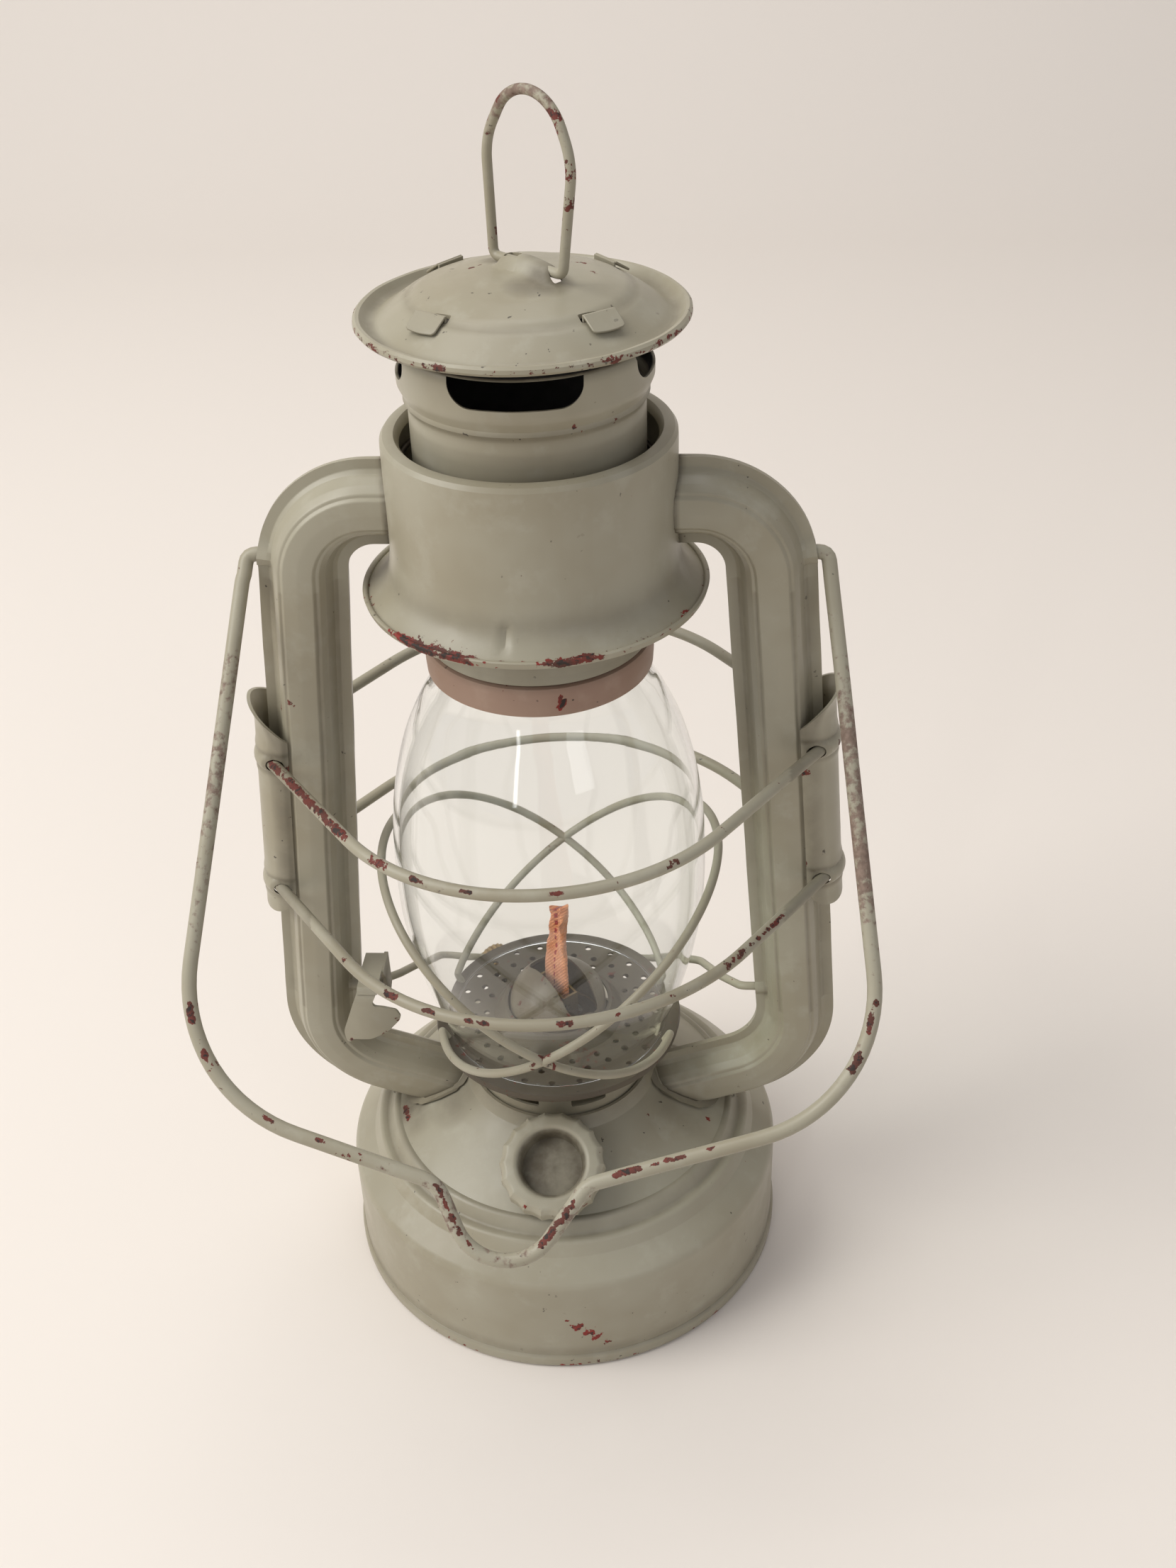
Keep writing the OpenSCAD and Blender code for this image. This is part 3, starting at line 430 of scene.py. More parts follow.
def enamel(name, base=PAINT, warm=PAINT_WARM, pale=PAINT_PALE, under=RUST, specks=0.5, rough=0.36, wear=0.0, seed=0.0):
    """Brushed-on enamel over primer: mottled, darkened by dirt and by painted shade in grooves, joints and hollows,
    with chips where 'chip' and 'worn' say.
    """
    n = Nodes(name)
    shift = n.t.nodes.new("ShaderNodeVectorMath")
    n.put(shift.inputs[0], n.coord)
    shift.inputs[1].default_value = (seed, seed * 0.7, seed * 1.3)
    vec = shift.outputs[0]
    broad = n.noise(26, 3, 0.6, vec)
    mid = n.noise(120, 4, 0.6, vec)
    streak = n.noise(90, 3, 0.6, vec, stretch=(1, 1, 0.12))
    fine = n.noise(900, 3, 0.6, vec)
    flake = n.noise(560, 6, 0.62, vec)
    chip, worn, grime = n.attr("chip"), n.attr("worn"), n.attr("grime")
    col = n.mix(n.ramp(broad, 0.35, 0.68), base, warm)
    col = n.mix(n.ramp(mid, 0.5, 0.75, 0, 0.45), col, pale)
    col = n.mix(n.ramp(streak, 0.52, 0.78, 0, 0.28), col, warm)
    # Darkening from the third layer: dirt in some places, painted shade in grooves, joints, recesses and under parts in
    # others.
    darkening = n.math("MULTIPLY", grime, n.ramp(mid, 0.25, 0.7, 0.45, 1.0))
    col = n.mix(n.math("MULTIPLY", darkening, 0.85, True), col, GRIME_AND_SHADE)
    # Past 1.3 the paint goes near-black: painted shade inside the chimney and at the tube ends under the chamber.
    col = n.mix(n.ramp(grime, 1.3, 1.9), col, rgb(22, 19, 16))
    # pin-head specks
    speck = n.ramp(n.noise(520, 2, 0.5, vec), 0.735 - 0.02 * specks, 0.76 - 0.02 * specks)
    speck = n.math("MULTIPLY", speck, n.ramp(broad, 0.42, 0.55))
    col = n.mix(n.math("MULTIPLY", speck, 0.8, True), col, DARK)
    # chips down to the primer and below it
    level = n.math("ADD", n.math("MULTIPLY", flake, 0.8), n.math("MULTIPLY", n.noise(110, 2, 0.5, vec), 0.35))
    level = n.math("ADD", level, n.math("MULTIPLY", chip, 0.30))
    level = n.math("ADD", level, wear)
    chipped = n.ramp(level, 0.80, 0.815)
    deep = n.ramp(n.math("ADD", n.math("MULTIPLY", fine, 0.5), n.math("MULTIPLY", level, 0.6)), 0.80, 0.84)
    # rubbed, brownish wear on the wires
    rub = n.math("ADD", n.math("MULTIPLY", flake, 0.7), n.math("MULTIPLY", n.noise(60, 3, 0.6, vec), 0.5))
    rub = n.math("ADD", rub, n.math("MULTIPLY", worn, 0.36))
    rubbed = n.ramp(rub, 0.80, 0.94)
    col = n.mix(n.math("MULTIPLY", rubbed, 0.8), col, n.mix(n.ramp(fine, 0.3, 0.7), BROWN, rgb(128, 104, 92)))
    red = n.mix(n.ramp(mid, 0.38, 0.62), under, rgb(84, 48, 38))
    col = n.mix(chipped, col, n.mix(deep, red, DARK))
    bare = n.math("MAXIMUM", chipped, n.math("MULTIPLY", rubbed, 0.8))
    gloss = n.math("ADD", n.ramp(mid, 0.3, 0.7, rough - 0.05, rough + 0.08), n.math("MULTIPLY", bare, 0.28))
    gloss = n.math("ADD", gloss, n.math("MULTIPLY", darkening, 0.18), True)
    skin = n.math("ADD", n.math("MULTIPLY", fine, 0.10), n.math("MULTIPLY", n.noise(45, 2, 0.5, vec), 1.0))
    nrm = n.bump(skin, 0.10, 0.0006)
    nrm = n.bump(n.math("SUBTRACT", 1.0, bare), 0.6, 0.00012, nrm)
    n.shader(Base_Color=col, Roughness=gloss, Normal=nrm, Specular_IOR_Level=0.42)
    return n.mat


def simple_metal(name, a, b, rough=0.4, metallic=0.9, scale=200.0, darkening=DARK, bump=0.2):
    n = Nodes(name)
    big, fine = n.noise(scale * 0.3, 4), n.noise(scale * 3, 4)
    col = n.mix(n.ramp(big, 0.3, 0.7), a, b)
    spots = n.ramp(n.math("ADD", n.math("MULTIPLY", fine, 0.5), n.math("MULTIPLY", big, 0.5)), 0.56, 0.66)
    col = n.mix(n.math("MULTIPLY", spots, 0.6), col, darkening)
    n.shader(Base_Color=col, Metallic=metallic, Roughness=n.ramp(fine, 0.2, 0.8, rough - 0.1, rough + 0.2),
             Normal=n.bump(fine, bump, 0.0002))
    return n.mat


def glass_material():
    n = Nodes("globe_glass")
    wave = n.noise(16, 2, 0.5, stretch=(1, 1, 0.5))
    p = n.shader(Base_Color=(0.97, 0.985, 0.98, 1), Roughness=0.02, IOR=1.46, Normal=n.bump(wave, 0.10, 0.0035))
    p.inputs["Transmission Weight"].default_value = 1.0
    path = n.t.nodes.new("ShaderNodeLightPath")
    clear = n.t.nodes.new("ShaderNodeBsdfTransparent")
    clear.inputs[0].default_value = (0.93, 0.95, 0.94, 1)
    mixer = n.t.nodes.new("ShaderNodeMixShader")
    n.t.links.new(path.outputs["Is Shadow Ray"], mixer.inputs[0])
    n.t.links.new(p.outputs[0], mixer.inputs[1])
    n.t.links.new(clear.outputs[0], mixer.inputs[2])
    n.t.links.new(mixer.outputs[0], n.out.inputs["Surface"])
    return n.mat


def wick_material():
    n = Nodes("wick_cotton")
    turn = n.t.nodes.new("ShaderNodeMapping")
    n.put(turn.inputs["Vector"], n.coord)
    turn.inputs["Rotation"].default_value = (0, 0, -WICK_TURN)
    sep = n.t.nodes.new("ShaderNodeSeparateXYZ")
    n.t.links.new(turn.outputs[0], sep.inputs[0])
    x, z = sep.outputs[0], sep.outputs[2]
    warp = n.math("SINE", n.math("MULTIPLY", x, 2 * math.pi / 0.0009))
    weft = n.math("SINE", n.math("MULTIPLY", z, 2 * math.pi / 0.0011))
    weave = n.math("MULTIPLY", warp, weft)
    col = n.mix(n.ramp(n.noise(160, 4), 0.35, 0.7), rgb(198, 120, 78), rgb(226, 156, 112))
    col = n.mix(n.ramp(weave, 0.1, 0.9, 0, 0.4), col, rgb(168, 96, 60))
    line = n.ramp(n.math("ABSOLUTE", n.math("ADD", x, n.math("SUBTRACT", n.math("MULTIPLY", n.math("SUBTRACT", n.noise(120, 2), 0.5), 0.0012), 0.0002))), 0.00022, 0.00042, 1, 0)
    dash = n.ramp(n.math("SINE", n.math("MULTIPLY", z, 2 * math.pi / 0.0024)), -0.5, -0.1)
    col = n.mix(n.math("MULTIPLY", line, dash), col, rgb(150, 34, 26))
    n.shader(Base_Color=col, Roughness=0.92, Sheen_Weight=0.25, Specular_IOR_Level=0.15, Normal=n.bump(weave, 0.6, 0.0002))
    return n.mat


paint_sheet = enamel("enamel_sheet", seed=0.3)
paint_chamber = enamel("enamel_chamber", seed=0.3, under=PRIMER)
paint_top = enamel("enamel_canopy", seed=1.7, specks=1.0)
paint_wire = enamel("enamel_wire", seed=2.9, specks=0.8, rough=0.42)
paint_tank = enamel("enamel_tank", seed=4.1, under=PRIMER)
pink = enamel("primer_collar", base=rgb(158, 132, 114), warm=rgb(148, 120, 103), pale=rgb(172, 148, 130), seed=5.3, rough=0.5, under=PRIMER)
plate_paint = enamel("enamel_plate", base=rgb(86, 77, 63), warm=rgb(70, 61, 50), pale=rgb(106, 97, 82), seed=6.1, rough=0.5, specks=1.0)
cone_paint = enamel("enamel_cone", base=rgb(118, 109, 92), warm=rgb(94, 82, 66), pale=rgb(136, 128, 111), seed=7.3, rough=0.4, specks=1.0)
brass = simple_metal("aged_brass", rgb(150, 126, 84), rgb(116, 96, 64), 0.42)
tin = simple_metal("tinned_steel", rgb(140, 135, 126), rgb(108, 102, 94), 0.45)
spring_mat = simple_metal("spring_steel", rgb(110, 104, 96), rgb(80, 70, 60), 0.45)
rubber = simple_metal("seal_rubber", rgb(44, 40, 36), rgb(30, 28, 26), 0.7, 0.0)
glass = glass_material()
wick_mat = wick_material()


def give(ob, mat):
    ob.data.materials.clear()
    ob.data.materials.append(mat)
    return ob


# ---------------------------------------------------------------- fuel tank
def tank():
    outer = rounded([(WALL_R, 3.0, 0), (WALL_R, 26, 0), (WALL_R, 31.2, 3.4), (53.2, 36.0, 1.0), (51.4, 39.6, 1.3), (48.9, 39.4, 1.0),
                     (46.9, 43.1, 1.3), (44.6, 42.5, 0.6), (15, 42.2, 0)], 7)
    low = resample(outer[:2], 2.5)
    outer = np.vstack([low[:-1], outer[1:]])
    v, f = revolve(sheet(outer, SHEET), 220, lambda a, r, z: 0.05 * math.sin(3 * a + 1) + 0.03 * math.sin(7 * a))
    ob = give(make("tank_body", v, f, "frame", "painted_sheet", ("tank_shell",)), paint_tank)
    # Its darkening layer is painted shade: a dark band at the foot seam, in the groove between the two ridges and on
    # the top under the dome's edge.
    paint_marks(ob, chip=lambda c: near(c, [(3 + 1.15 * k, -59.1 + 0.15 * k, 19.2 - 1.15 * k, 1.1 + 0.5 * (k % 3 == 0) + 0.2 * (k % 4), 1.5) for k in range(11)]
                                + [(21.2, -45.8, 38, 1.5, 2.0), (22.4, -45.4, 37.6, 1.0, 1.6), (23, -54.6, 25.6, 0.7, 1.2), (-31, -50, 17, 0.8, 1.3), (-8, -59, 27, 0.7, 1.2)]),
                grime=lambda c: 0.55 * np.exp(-((c[:, 2] - 4.6) / 1.6) ** 2) + 0.5 * np.exp(-((np.hypot(c[:, 0], c[:, 1]) - 49.2) / 0.9) ** 2)
                + 0.35 * np.clip((c[:, 2] - 41) / 2, 0, 1))
    seam = rounded([(0.01, 0.0, 0), (58.4, 0.0, 1.2), (60.0, 0.4, 1.3), (60.0, 3.4, 1.0), (59.2, 4.5, 0.5), (58.7, 3.9, 0)], 7)
    v, f = revolve(sheet(seam, SHEET), 220)
    ob = give(make("tank_foot", v, f, "frame", "painted_sheet", ("tank_bottom",)), paint_tank)
    # Painted shade darkens the top of the seam where it meets the wall.
    paint_marks(ob, chip=lambda c: 0.55 * np.exp(-((c[:, 2] - 1.4) / 1.3) ** 2), grime=lambda c: 0.5 * np.clip((c[:, 2] - 3.2) / 1.2, 0, 1))
    lip = rounded([(DOME_R0, DOME_Z0 - 0.3, 0), (DOME_R1 + 1.2, dome_z(DOME_R1 + 1.2), 0.8), (24.6, 57.0, 0.4), (24.6, 57.2, 0)], 6)
    body = resample(lip[:2], 2.0)
    v, f = revolve(sheet(np.vstack([body[:-1], lip[1:]]), SHEET), 220)
    ob = give(make("air_dome_skin", v, f, "frame", "painted_sheet", ("air_dome",)), paint_tank)
    # Its darkening layer is painted shade: towards the gallery, around the tube feet and behind the filler cap.
    paint_marks(ob, chip=lambda c: near(c, [(24.5, -18, 53, 2.2, 1.4), (26.5, -17.5, 52.5, 1.5, 1.2), (41, -12, 45.5, 2.2, 1.2), (-22, -32, 48, 0.8, 1.2)] + [(x, y, dome_z(math.hypot(x, y)) + 0.8, 2.3, 1.5) for x, y in ((-43.5, -8.6), (-43.0, -10.4), (-42.4, -12.2))]),
                grime=lambda c: 0.5 * np.clip((27.5 - np.hypot(c[:, 0], c[:, 1])) / 3, 0, 1) + near(c, [(-43, -9, 46, 8, 1.0), (-40, -15, 47, 6, 0.7), (-30, -14, 52, 8, 0.6), (38, -14, 49, 8, 0.5), (31, -12, 52, 7, 0.5), (0, -27, 54, 9, 0.5)]))


# ---------------------------------------------------------------- filler
CAP_H, CAP_TILT = 5.6, 30.0
CAP_BASE = np.array([0, -40.2, 57]) - CAP_H * np.array([0, -math.sin(math.radians(CAP_TILT)), math.cos(math.radians(CAP_TILT))])
CAP_M = move(*CAP_BASE) @ rot("X", CAP_TILT)


def filler():
    out = rounded([(0.01, 0.8, 0), (7.6, 0.6, 0.4), (8.3, 0.8, 0.5), (8.9, 4.9, 0.7), (9.8, 5.6, 0.6), (12.0, 5.4, 0.7),
                   (12.9, 4.3, 0.9), (13.0, 0.0, 0)], 6)
    seg = 252
    ang = np.linspace(0, 2 * math.pi, seg, endpoint=False)
    body = sheet(out[::-1], -0.8)
    v = []
    for a in ang:
        k = np.clip((body[:, 0] - 10.2) / 1.8, 0, 1)
        scallop = -0.6 * abs(math.sin(9 * a)) ** 0.8
        r = body[:, 0] + k * scallop * np.clip(1.2 - body[:, 1] / 14, 0, 1)
        v.append(np.stack([r * math.cos(a), r * math.sin(a), body[:, 1]], 1))
    m = (np.vstack(v), grid_faces(seg, len(body), True, True))
    ob = give(make("filler_cap_piece", *placed(m, CAP_M), "cap", "painted_sheet", ("filler_cap",)), paint_tank)

    def edge(c):
        q = (c - CAP_BASE) @ CAP_M[:3, :3]
        r = np.hypot(q[:, 0], q[:, 1])
        return 0.4 * np.exp(-((r - 12.9) / 0.5) ** 2)
    # The recess inside the cap's rim is darkened all over as painted shade.
    paint_marks(ob, chip=edge, grime=lambda c: 1.15 * (np.hypot(*((c - CAP_BASE) @ CAP_M[:3, :3])[:, :2].T) < 8.7))
    neck = rounded([(11.0, -12, 0), (11.0, 0.2, 0), (11.3, 0.9, 0.3), (11.0, 1.6, 0.2), (11.3, 2.3, 0.3), (11.0, 3.2, 0)], 4)
    v, f = revolve(sheet(neck, 0.8), 96)
    give(make("filler_neck_piece", *placed((v, f), CAP_M), "frame", "tinned_steel", ("filler_neck",)), tin)
    seal = rounded([(10.1, 3.25, 0), (11.2, 3.25, 0.2), (11.2, 4.2, 0.2), (10.1, 4.2, 0.2), (10.1, 3.25, 0)], 3)[:-1]
    v, f = revolve(seal, 96)
    give(make("cap_washer_piece", *placed((v, f), CAP_M), "cap_washer", "seal", ("cap_seal",)), rubber)


# ---------------------------------------------------------------- side tubes
def tube_section(flange_bump=0.0):
    """Outer face of one pressed half tube as (n, d): n from the outer flange's edge to the inner one's."""
    half = [(10.25, 0.75, 0), (7.9, 0.75, 0.5), (7.0, 1.7, 0.7), (5.9, 5.0, 1.2), (4.7, 7.0, 0.7), (4.0, 7.1, 0.35), (3.4, 7.9, 0.6), (0, 8.1, 6)]
    left = [(-q[0], q[1], q[2]) for q in half[:-1]][::-1]
    return rounded(half + left, 4)


def tube_line():
    """Centre line of the right-hand tube in the X-Z plane, its outward direction, and its two ends."""
    pts, out = [], []
    for x in np.arange(30.0, 36.0, 1.0):
        pts.append((x, UPPER_C[1] + UPPER_R))
        out.append((0, 1))
    for a in np.linspace(math.pi / 2, SPLAY, 22):
        pts.append(tuple(UPPER_C + UPPER_R * np.array([math.cos(a), math.sin(a)])))
        out.append((math.cos(a), math.sin(a)))
    a_end = LOWER_C + LOWER_R * np.array([math.cos(SPLAY), math.sin(SPLAY)])
    n = 220
    for k in range(1, n):
        pts.append(tuple(UP_END + (a_end - UP_END) * k / n))
        out.append((math.cos(SPLAY), math.sin(SPLAY)))
    low = FOOT_DIR - math.pi / 2
    for a in np.linspace(SPLAY, low, 26):
        pts.append(tuple(LOWER_C + LOWER_R * np.array([math.cos(a), math.sin(a)])))
        out.append((math.cos(a), math.sin(a)))
    end = np.array(pts[-1])
    for k in range(1, 24):
        pts.append(tuple(end - k * np.array([math.cos(FOOT_DIR), math.sin(FOOT_DIR)])))
        out.append((math.cos(low), math.sin(low)))
    return np.array(pts), np.array(out)


def dome_hit(p, d):
    """Distance from p along d to just inside the dome's skin."""
    lo, hi = 0.0, 60.0
    for _ in range(40):
        mid = (lo + hi) / 2
        q = p + d * mid
        if q[2] > dome_z(math.hypot(q[0], q[1])) - 0.35:
            lo = mid
        else:
            hi = mid
    return lo


def tube_half():
    line, out = tube_line()
    sec = sheet(tube_section(), 0.75)
    rows = []
    low_n = 23
    d_in = -np.array([math.cos(FOOT_DIR), 0, math.sin(FOOT_DIR)])
    for i, (p, o) in enumerate(zip(line, out)):
        n, d = sec[:, 0].copy(), sec[:, 1].copy()
        x = p[0] + n * o[0]
        z = p[1] + n * o[1]
        # pressed tunnels for the bail's and the crank's ends, and small stiffening dimples
        for zc, big, side in ((BAIL_Z, 2.6, 1), (CRANK_Z, 2.0, -1)):
            on = (n * side > 4.5)
            arch = np.sqrt(np.clip(big ** 2 - (z - zc) ** 2, 0, None))
            fade = np.clip((n * side - 5.0) / 1.5, 0, 1)
            d = np.where(on, np.maximum(d, arch * fade), d)
        for zc, side, rr in ((190.0, -1, 1.6), (187.5, 1, 1.6), (84.0, 1, 1.5)):
            q = (z - zc) ** 2 / (rr * 1.6) ** 2 + (n * side - 9.0) ** 2 / 1.4 ** 2
            d = d + np.where(n * side > 7, 0.35 * np.exp(-q), 0)
        if i < 6:   # the upper end follows the chamber's wall
            end = np.sqrt(31.9 ** 2 - np.clip(d, 0, 10) ** 2)
            x = end + (36.0 - end) * (x - 30.0) / 6.0
        rows.append(np.stack([x, -d, z], 1))
    # lower end: run on to the dome, then spread into a thin foot on it
    base = rows[len(rows) - low_n - 1]
    rows = rows[:len(rows) - low_n]
    hits = np.array([dome_hit(q, d_in) for q in base])
    for k in range(1, 15):
        rows.append(base + d_in * (hits * (k / 14) ** 0.9)[:, None])
    tip = rows[-1]
    mid = np.array([tip[:, 0].mean(), 0.0, 0.0])
    m = len(sec) // 2
    for reach in (0.5, 1.4, 2.6):
        go = (tip - mid) * np.array([1, 1, 0])
        go /= np.maximum(np.linalg.norm(go, axis=1), 1e-6)[:, None]
        q = tip + go * reach
        r = np.hypot(q[:, 0], q[:, 1])
        thick = np.where(np.arange(len(sec)) < m, 0.75, 0.0)
        q[:, 2] = dome_z(r) + thick - 0.1
        q[:, 1] = np.minimum(q[:, 1], -0.02)
        rows.append(q)
    cols = len(sec)
    v = np.vstack(rows)
    f = grid_faces(len(rows), cols, False, True)
    f.append(tuple(range(cols - 1, -1, -1)))
    f.append(tuple(range((len(rows) - 1) * cols, len(rows) * cols)))
    return v, f


def tubes():
    v, f = tube_half()
    for side, sx in (("right", 1), ("left", -1)):
        for face, sy in (("front", 1), ("rear", -1)):
            w = ripple(v, 0.10, 14.0, 3.0 * sx + sy) * np.array([sx, sy, 1])
            nodes = [f"{side}_tube_{face}"] + ([f"{side}_tube_foot"] if face == "front" else [])
            ob = give(make(f"{side}_tube_{face}_skin", w, f, "frame", "painted_sheet", nodes), paint_sheet)

            # Painted shade: dark lines in the grooves, near-black at the upper ends where they meet the chamber, and
            # darker feet on the dome.
            def grime(c):
                n = np.abs(c[:, 0]) - np.array([tube_x(z) for z in c[:, 2]])
                groove = np.exp(-((np.abs(n) - 4.1) / 0.5) ** 2) + np.exp(-((np.abs(n) - 7.6) / 0.6) ** 2)
                straight = (c[:, 2] > 80) & (c[:, 2] < 205)
                ends = 1.4 * np.clip(1 - (np.hypot(c[:, 0], c[:, 1]) - 32.2) / 1.3, 0, 1) * (c[:, 2] > 200)
                foot = np.clip(1 - (c[:, 2] - dome_z(np.hypot(c[:, 0], c[:, 1]))) / 3, 0, 1) * (c[:, 2] < 70)
                return 0.5 * groove * straight + 1.0 * ends + 0.9 * foot
            spots = [(-62, -3, 173, 3, 1.0), (-59, -7, 176, 2, 0.9), (-38, -12, 52, 2.4, 0.9), (-43, -10, 50, 3, 1.0), (40, -10, 54, 2, 0.9), (56, -7, 170, 1.2, 1.1), (62, -7, 130, 1.5, 1.0)]
            paint_marks(ob, chip=lambda c: near(c, spots) + 0.3 * np.exp(-((np.hypot(c[:, 0], c[:, 1]) - 32.3) / 0.7) ** 2) * (c[:, 2] > 200), grime=grime)


# ---------------------------------------------------------------- air chamber
def chamber():
    out = rounded([(39.0, 204.5, 0), (37.4, 204.9, 0), (33.2, 208.4, 9), (32.2, 215, 8), (32.2, 237.4, 0), (32.2, 241.6, 3.6), (28.6, 241.6, 1.6), (28.0, 239.4, 0)], 9)
    body = resample(out, 1.2)
    edge = [(39.1 + 0.7 * math.cos(a) - 0.4, 204.75 + 0.7 * math.sin(a)) for a in np.linspace(-1.2, -5.6, 12)]
    v, f = revolve(sheet(body, SHEET), 216, lambda a, r, z: 0.04 * math.sin(5 * a))
    # pressed notch in the bell, at the front
    a0 = math.radians(-97.0)
    for i, p in enumerate(v):
        r, a = math.hypot(p[0], p[1]), math.atan2(p[1], p[0])
        side = (a - a0) * r
        if abs(side) < 2.2 and 204.8 < p[2] < 211.5:
            k = math.exp(-(side / 0.9) ** 2) * min(1, max(0, (211.0 - p[2]) / 1.2)) * min(1, max(0, (p[2] - 205.2) / 0.8))
            v[i][:2] *= (r - 0.9 * k) / r
    ring = revolve(edge, 216)
    ob = give(make("air_chamber_skin", *join((v, f), ring), "frame", "painted_sheet", ("air_chamber",)), paint_chamber)

    def chips(c):
        rim = np.exp(-((c[:, 2] - 204.6) / 0.9) ** 2) * (np.hypot(c[:, 0], c[:, 1]) > 37)
        a = np.degrees(np.arctan2(c[:, 1], c[:, 0]))
        arc = np.maximum(np.exp(-((a + 122) / 17) ** 4), np.exp(-((a + 74) / 9) ** 4))
        fringe = np.exp(-((c[:, 2] - 205.6) / 0.8) ** 2) * (np.hypot(c[:, 0], c[:, 1]) > 35)
        return np.clip(rim * (0.55 + 0.8 * arc) + 0.55 * fringe * arc, 0, 1.3) + near(c, [(9.1, -32.8, 211.2, 1.0, 1.3), (11, -32.6, 211.8, 0.9, 1.2), (0.4, -32.5, 222, 0.7, 1.3), (7.5, -33.4, 210.6, 0.9, 1.2)])
    # A soft darker band goes round the bell just above its rim.
    paint_marks(ob, chip=chips, grime=lambda c: 0.35 * np.exp(-((c[:, 2] - 210) / 3.0) ** 2))


# ---------------------------------------------------------------- clips and guard hoops
def hoop_corners(z):
    sx = tube_x(z) + 11.9 + 2.1
    return sx, sx * 1.296


def hoop_path(z):
    sx, sy = hoop_corners(z)
    half = math.atan2(sy, sx)
    bow = (sy - 57.6) / (1 / math.cos(half) - 1)
    mid = (sx * 0.78, -sy * 0.22, z, 0)
    c = [mid, (sx, 0, z, 8.0), (0, sy, z, bow), (-sx, 0, z, 8.0), (0, -sy, z, bow), mid]
    return rounded(c, 40, 0.98)[:-1]


def hoops():
    for name, z, node in (("upper", HOOPS[0], "upper_guard_hoop"), ("lower", HOOPS[1], "lower_guard_hoop")):
        p = hoop_path(z)
        for q in p:
            q[2] += hoop_tilt(q[0], q[1]) + 0.5 * noise.noise(Vector((q[0] / 40, q[1] / 40, z)))
        v, f = wire(p, 1.45, 24, True, 0.9)
        ob = give(make(f"{name}_hoop_wire", v, f, "frame", "painted_wire", (node,)), paint_wire)
        z -= 1.4
        marks = [(-12, -15), (5, 7.5), (-35, -32.5), (-26, -24.5), (30, 32), (44, 47), (52, 54.5), (-50, -48), (-55, -52.5), (19, 20)]
        runs = []
        for k, (x0, x1) in enumerate(marks):
            ends = [min(p, key=lambda w: abs(w[0] - x) + 1000 * (w[1] > 0)) for x in (x0, x1)]
            runs.append((ends[0] + np.array([0, -1.0, 0.9]), ends[1] + np.array([0, -1.0, 0.9]), 0.95 + 0.25 * (k % 3), 0.95))
        # Painted shade darkens the hoop where it runs inside the clips.
        paint_marks(ob, chip=lambda c: dashes(c, runs) + 0.14, worn=lambda c: 0.15 * np.ones(len(c)), grime=lambda c: 0.5 * (np.abs(c[:, 0]) > 58))


def clip_mesh(s):
    """A rolled sheet over the outer flange, swelling over the hoops, with a flared upper lip."""
    na, nz = 73, 150
    ang = np.radians(np.linspace(-98, 98, na))
    z0, z1 = (115.4, 178.2) if s > 0 else (111.8, 174.2)
    levels = [hz + hoop_tilt(65 * s, 0) for hz in HOOPS]
    outer, inner = [], []
    for iz in range(nz):
        t = iz / (nz - 1)
        ro, ri = [], []
        for a in ang:
            k = abs(math.degrees(a)) / 98
            top = z1 - 9.5 * k ** 1.6
            low = z0 + 4.5 * k ** 4 + 1.6 * (1 - k) ** 3
            z = low + (top - low) * t
            r = 8.1
            for hz, base_z in zip(levels, HOOPS):
                sx, sy = hoop_corners(base_z)
                cx = tube_x(hz) + 5.5
                # distance from the clip's axis to the hoop's wire at this angle
                best = 0
                for y in np.linspace(0, 9, 19):
                    x = min(sx - y / 1.296, sx - 2.1 - y * y / 16)
                    b = math.atan2(y, x - cx)
                    if abs(b - abs(a)) < 0.07:
                        best = max(best, math.hypot(x - cx, y))
                if best:
                    grow = best + math.sqrt(max(0, 2.5 ** 2 - (z - hz) ** 2))
                    fade = min(1, max(0, (72 - abs(math.degrees(a))) / 22))
                    r = max(r, 8.1 + (grow - 8.1) * fade) if abs(z - hz) < 2.5 and grow > 8.1 else r
                    r += 0.25 * fade * math.exp(-((abs(z - hz) - 3.2) / 1.2) ** 2)
            flare = max(0, (z - (z1 - 6.5 - 9.5 * k ** 1.6)) / 6.5)
            r += 1.5 * flare ** 2.2 * (1 - 0.75 * k ** 2)
            if k > 0.9:
                r -= 0.5 * (k - 0.9) * 10 * 0.9
            x0 = tube_x(z) + 5.5
            ro.append((x0 + r * math.cos(a), r * math.sin(a), z))
            ri.append((x0 + (r - 0.8) * math.cos(a), (r - 0.8) * math.sin(a), z - 0.15 * flare))
        outer.append(ro)
        inner.append(ri)
    v = np.array([q for row in outer for q in row] + [q for row in inner for q in row])
    f = grid_faces(nz, na)
    n = nz * na
    f += [tuple(i + n for i in reversed(q)) for q in grid_faces(nz, na)]
    for i in range(nz - 1):
        for j in (0, na - 1):
            f.append((i * na + j, (i + 1) * na + j, n + (i + 1) * na + j, n + i * na + j))
    for j in range(na - 1):
        for i in (0, nz - 1):
            f.append((i * na + j, i * na + j + 1, n + i * na + j + 1, n + i * na + j))
    return v, f


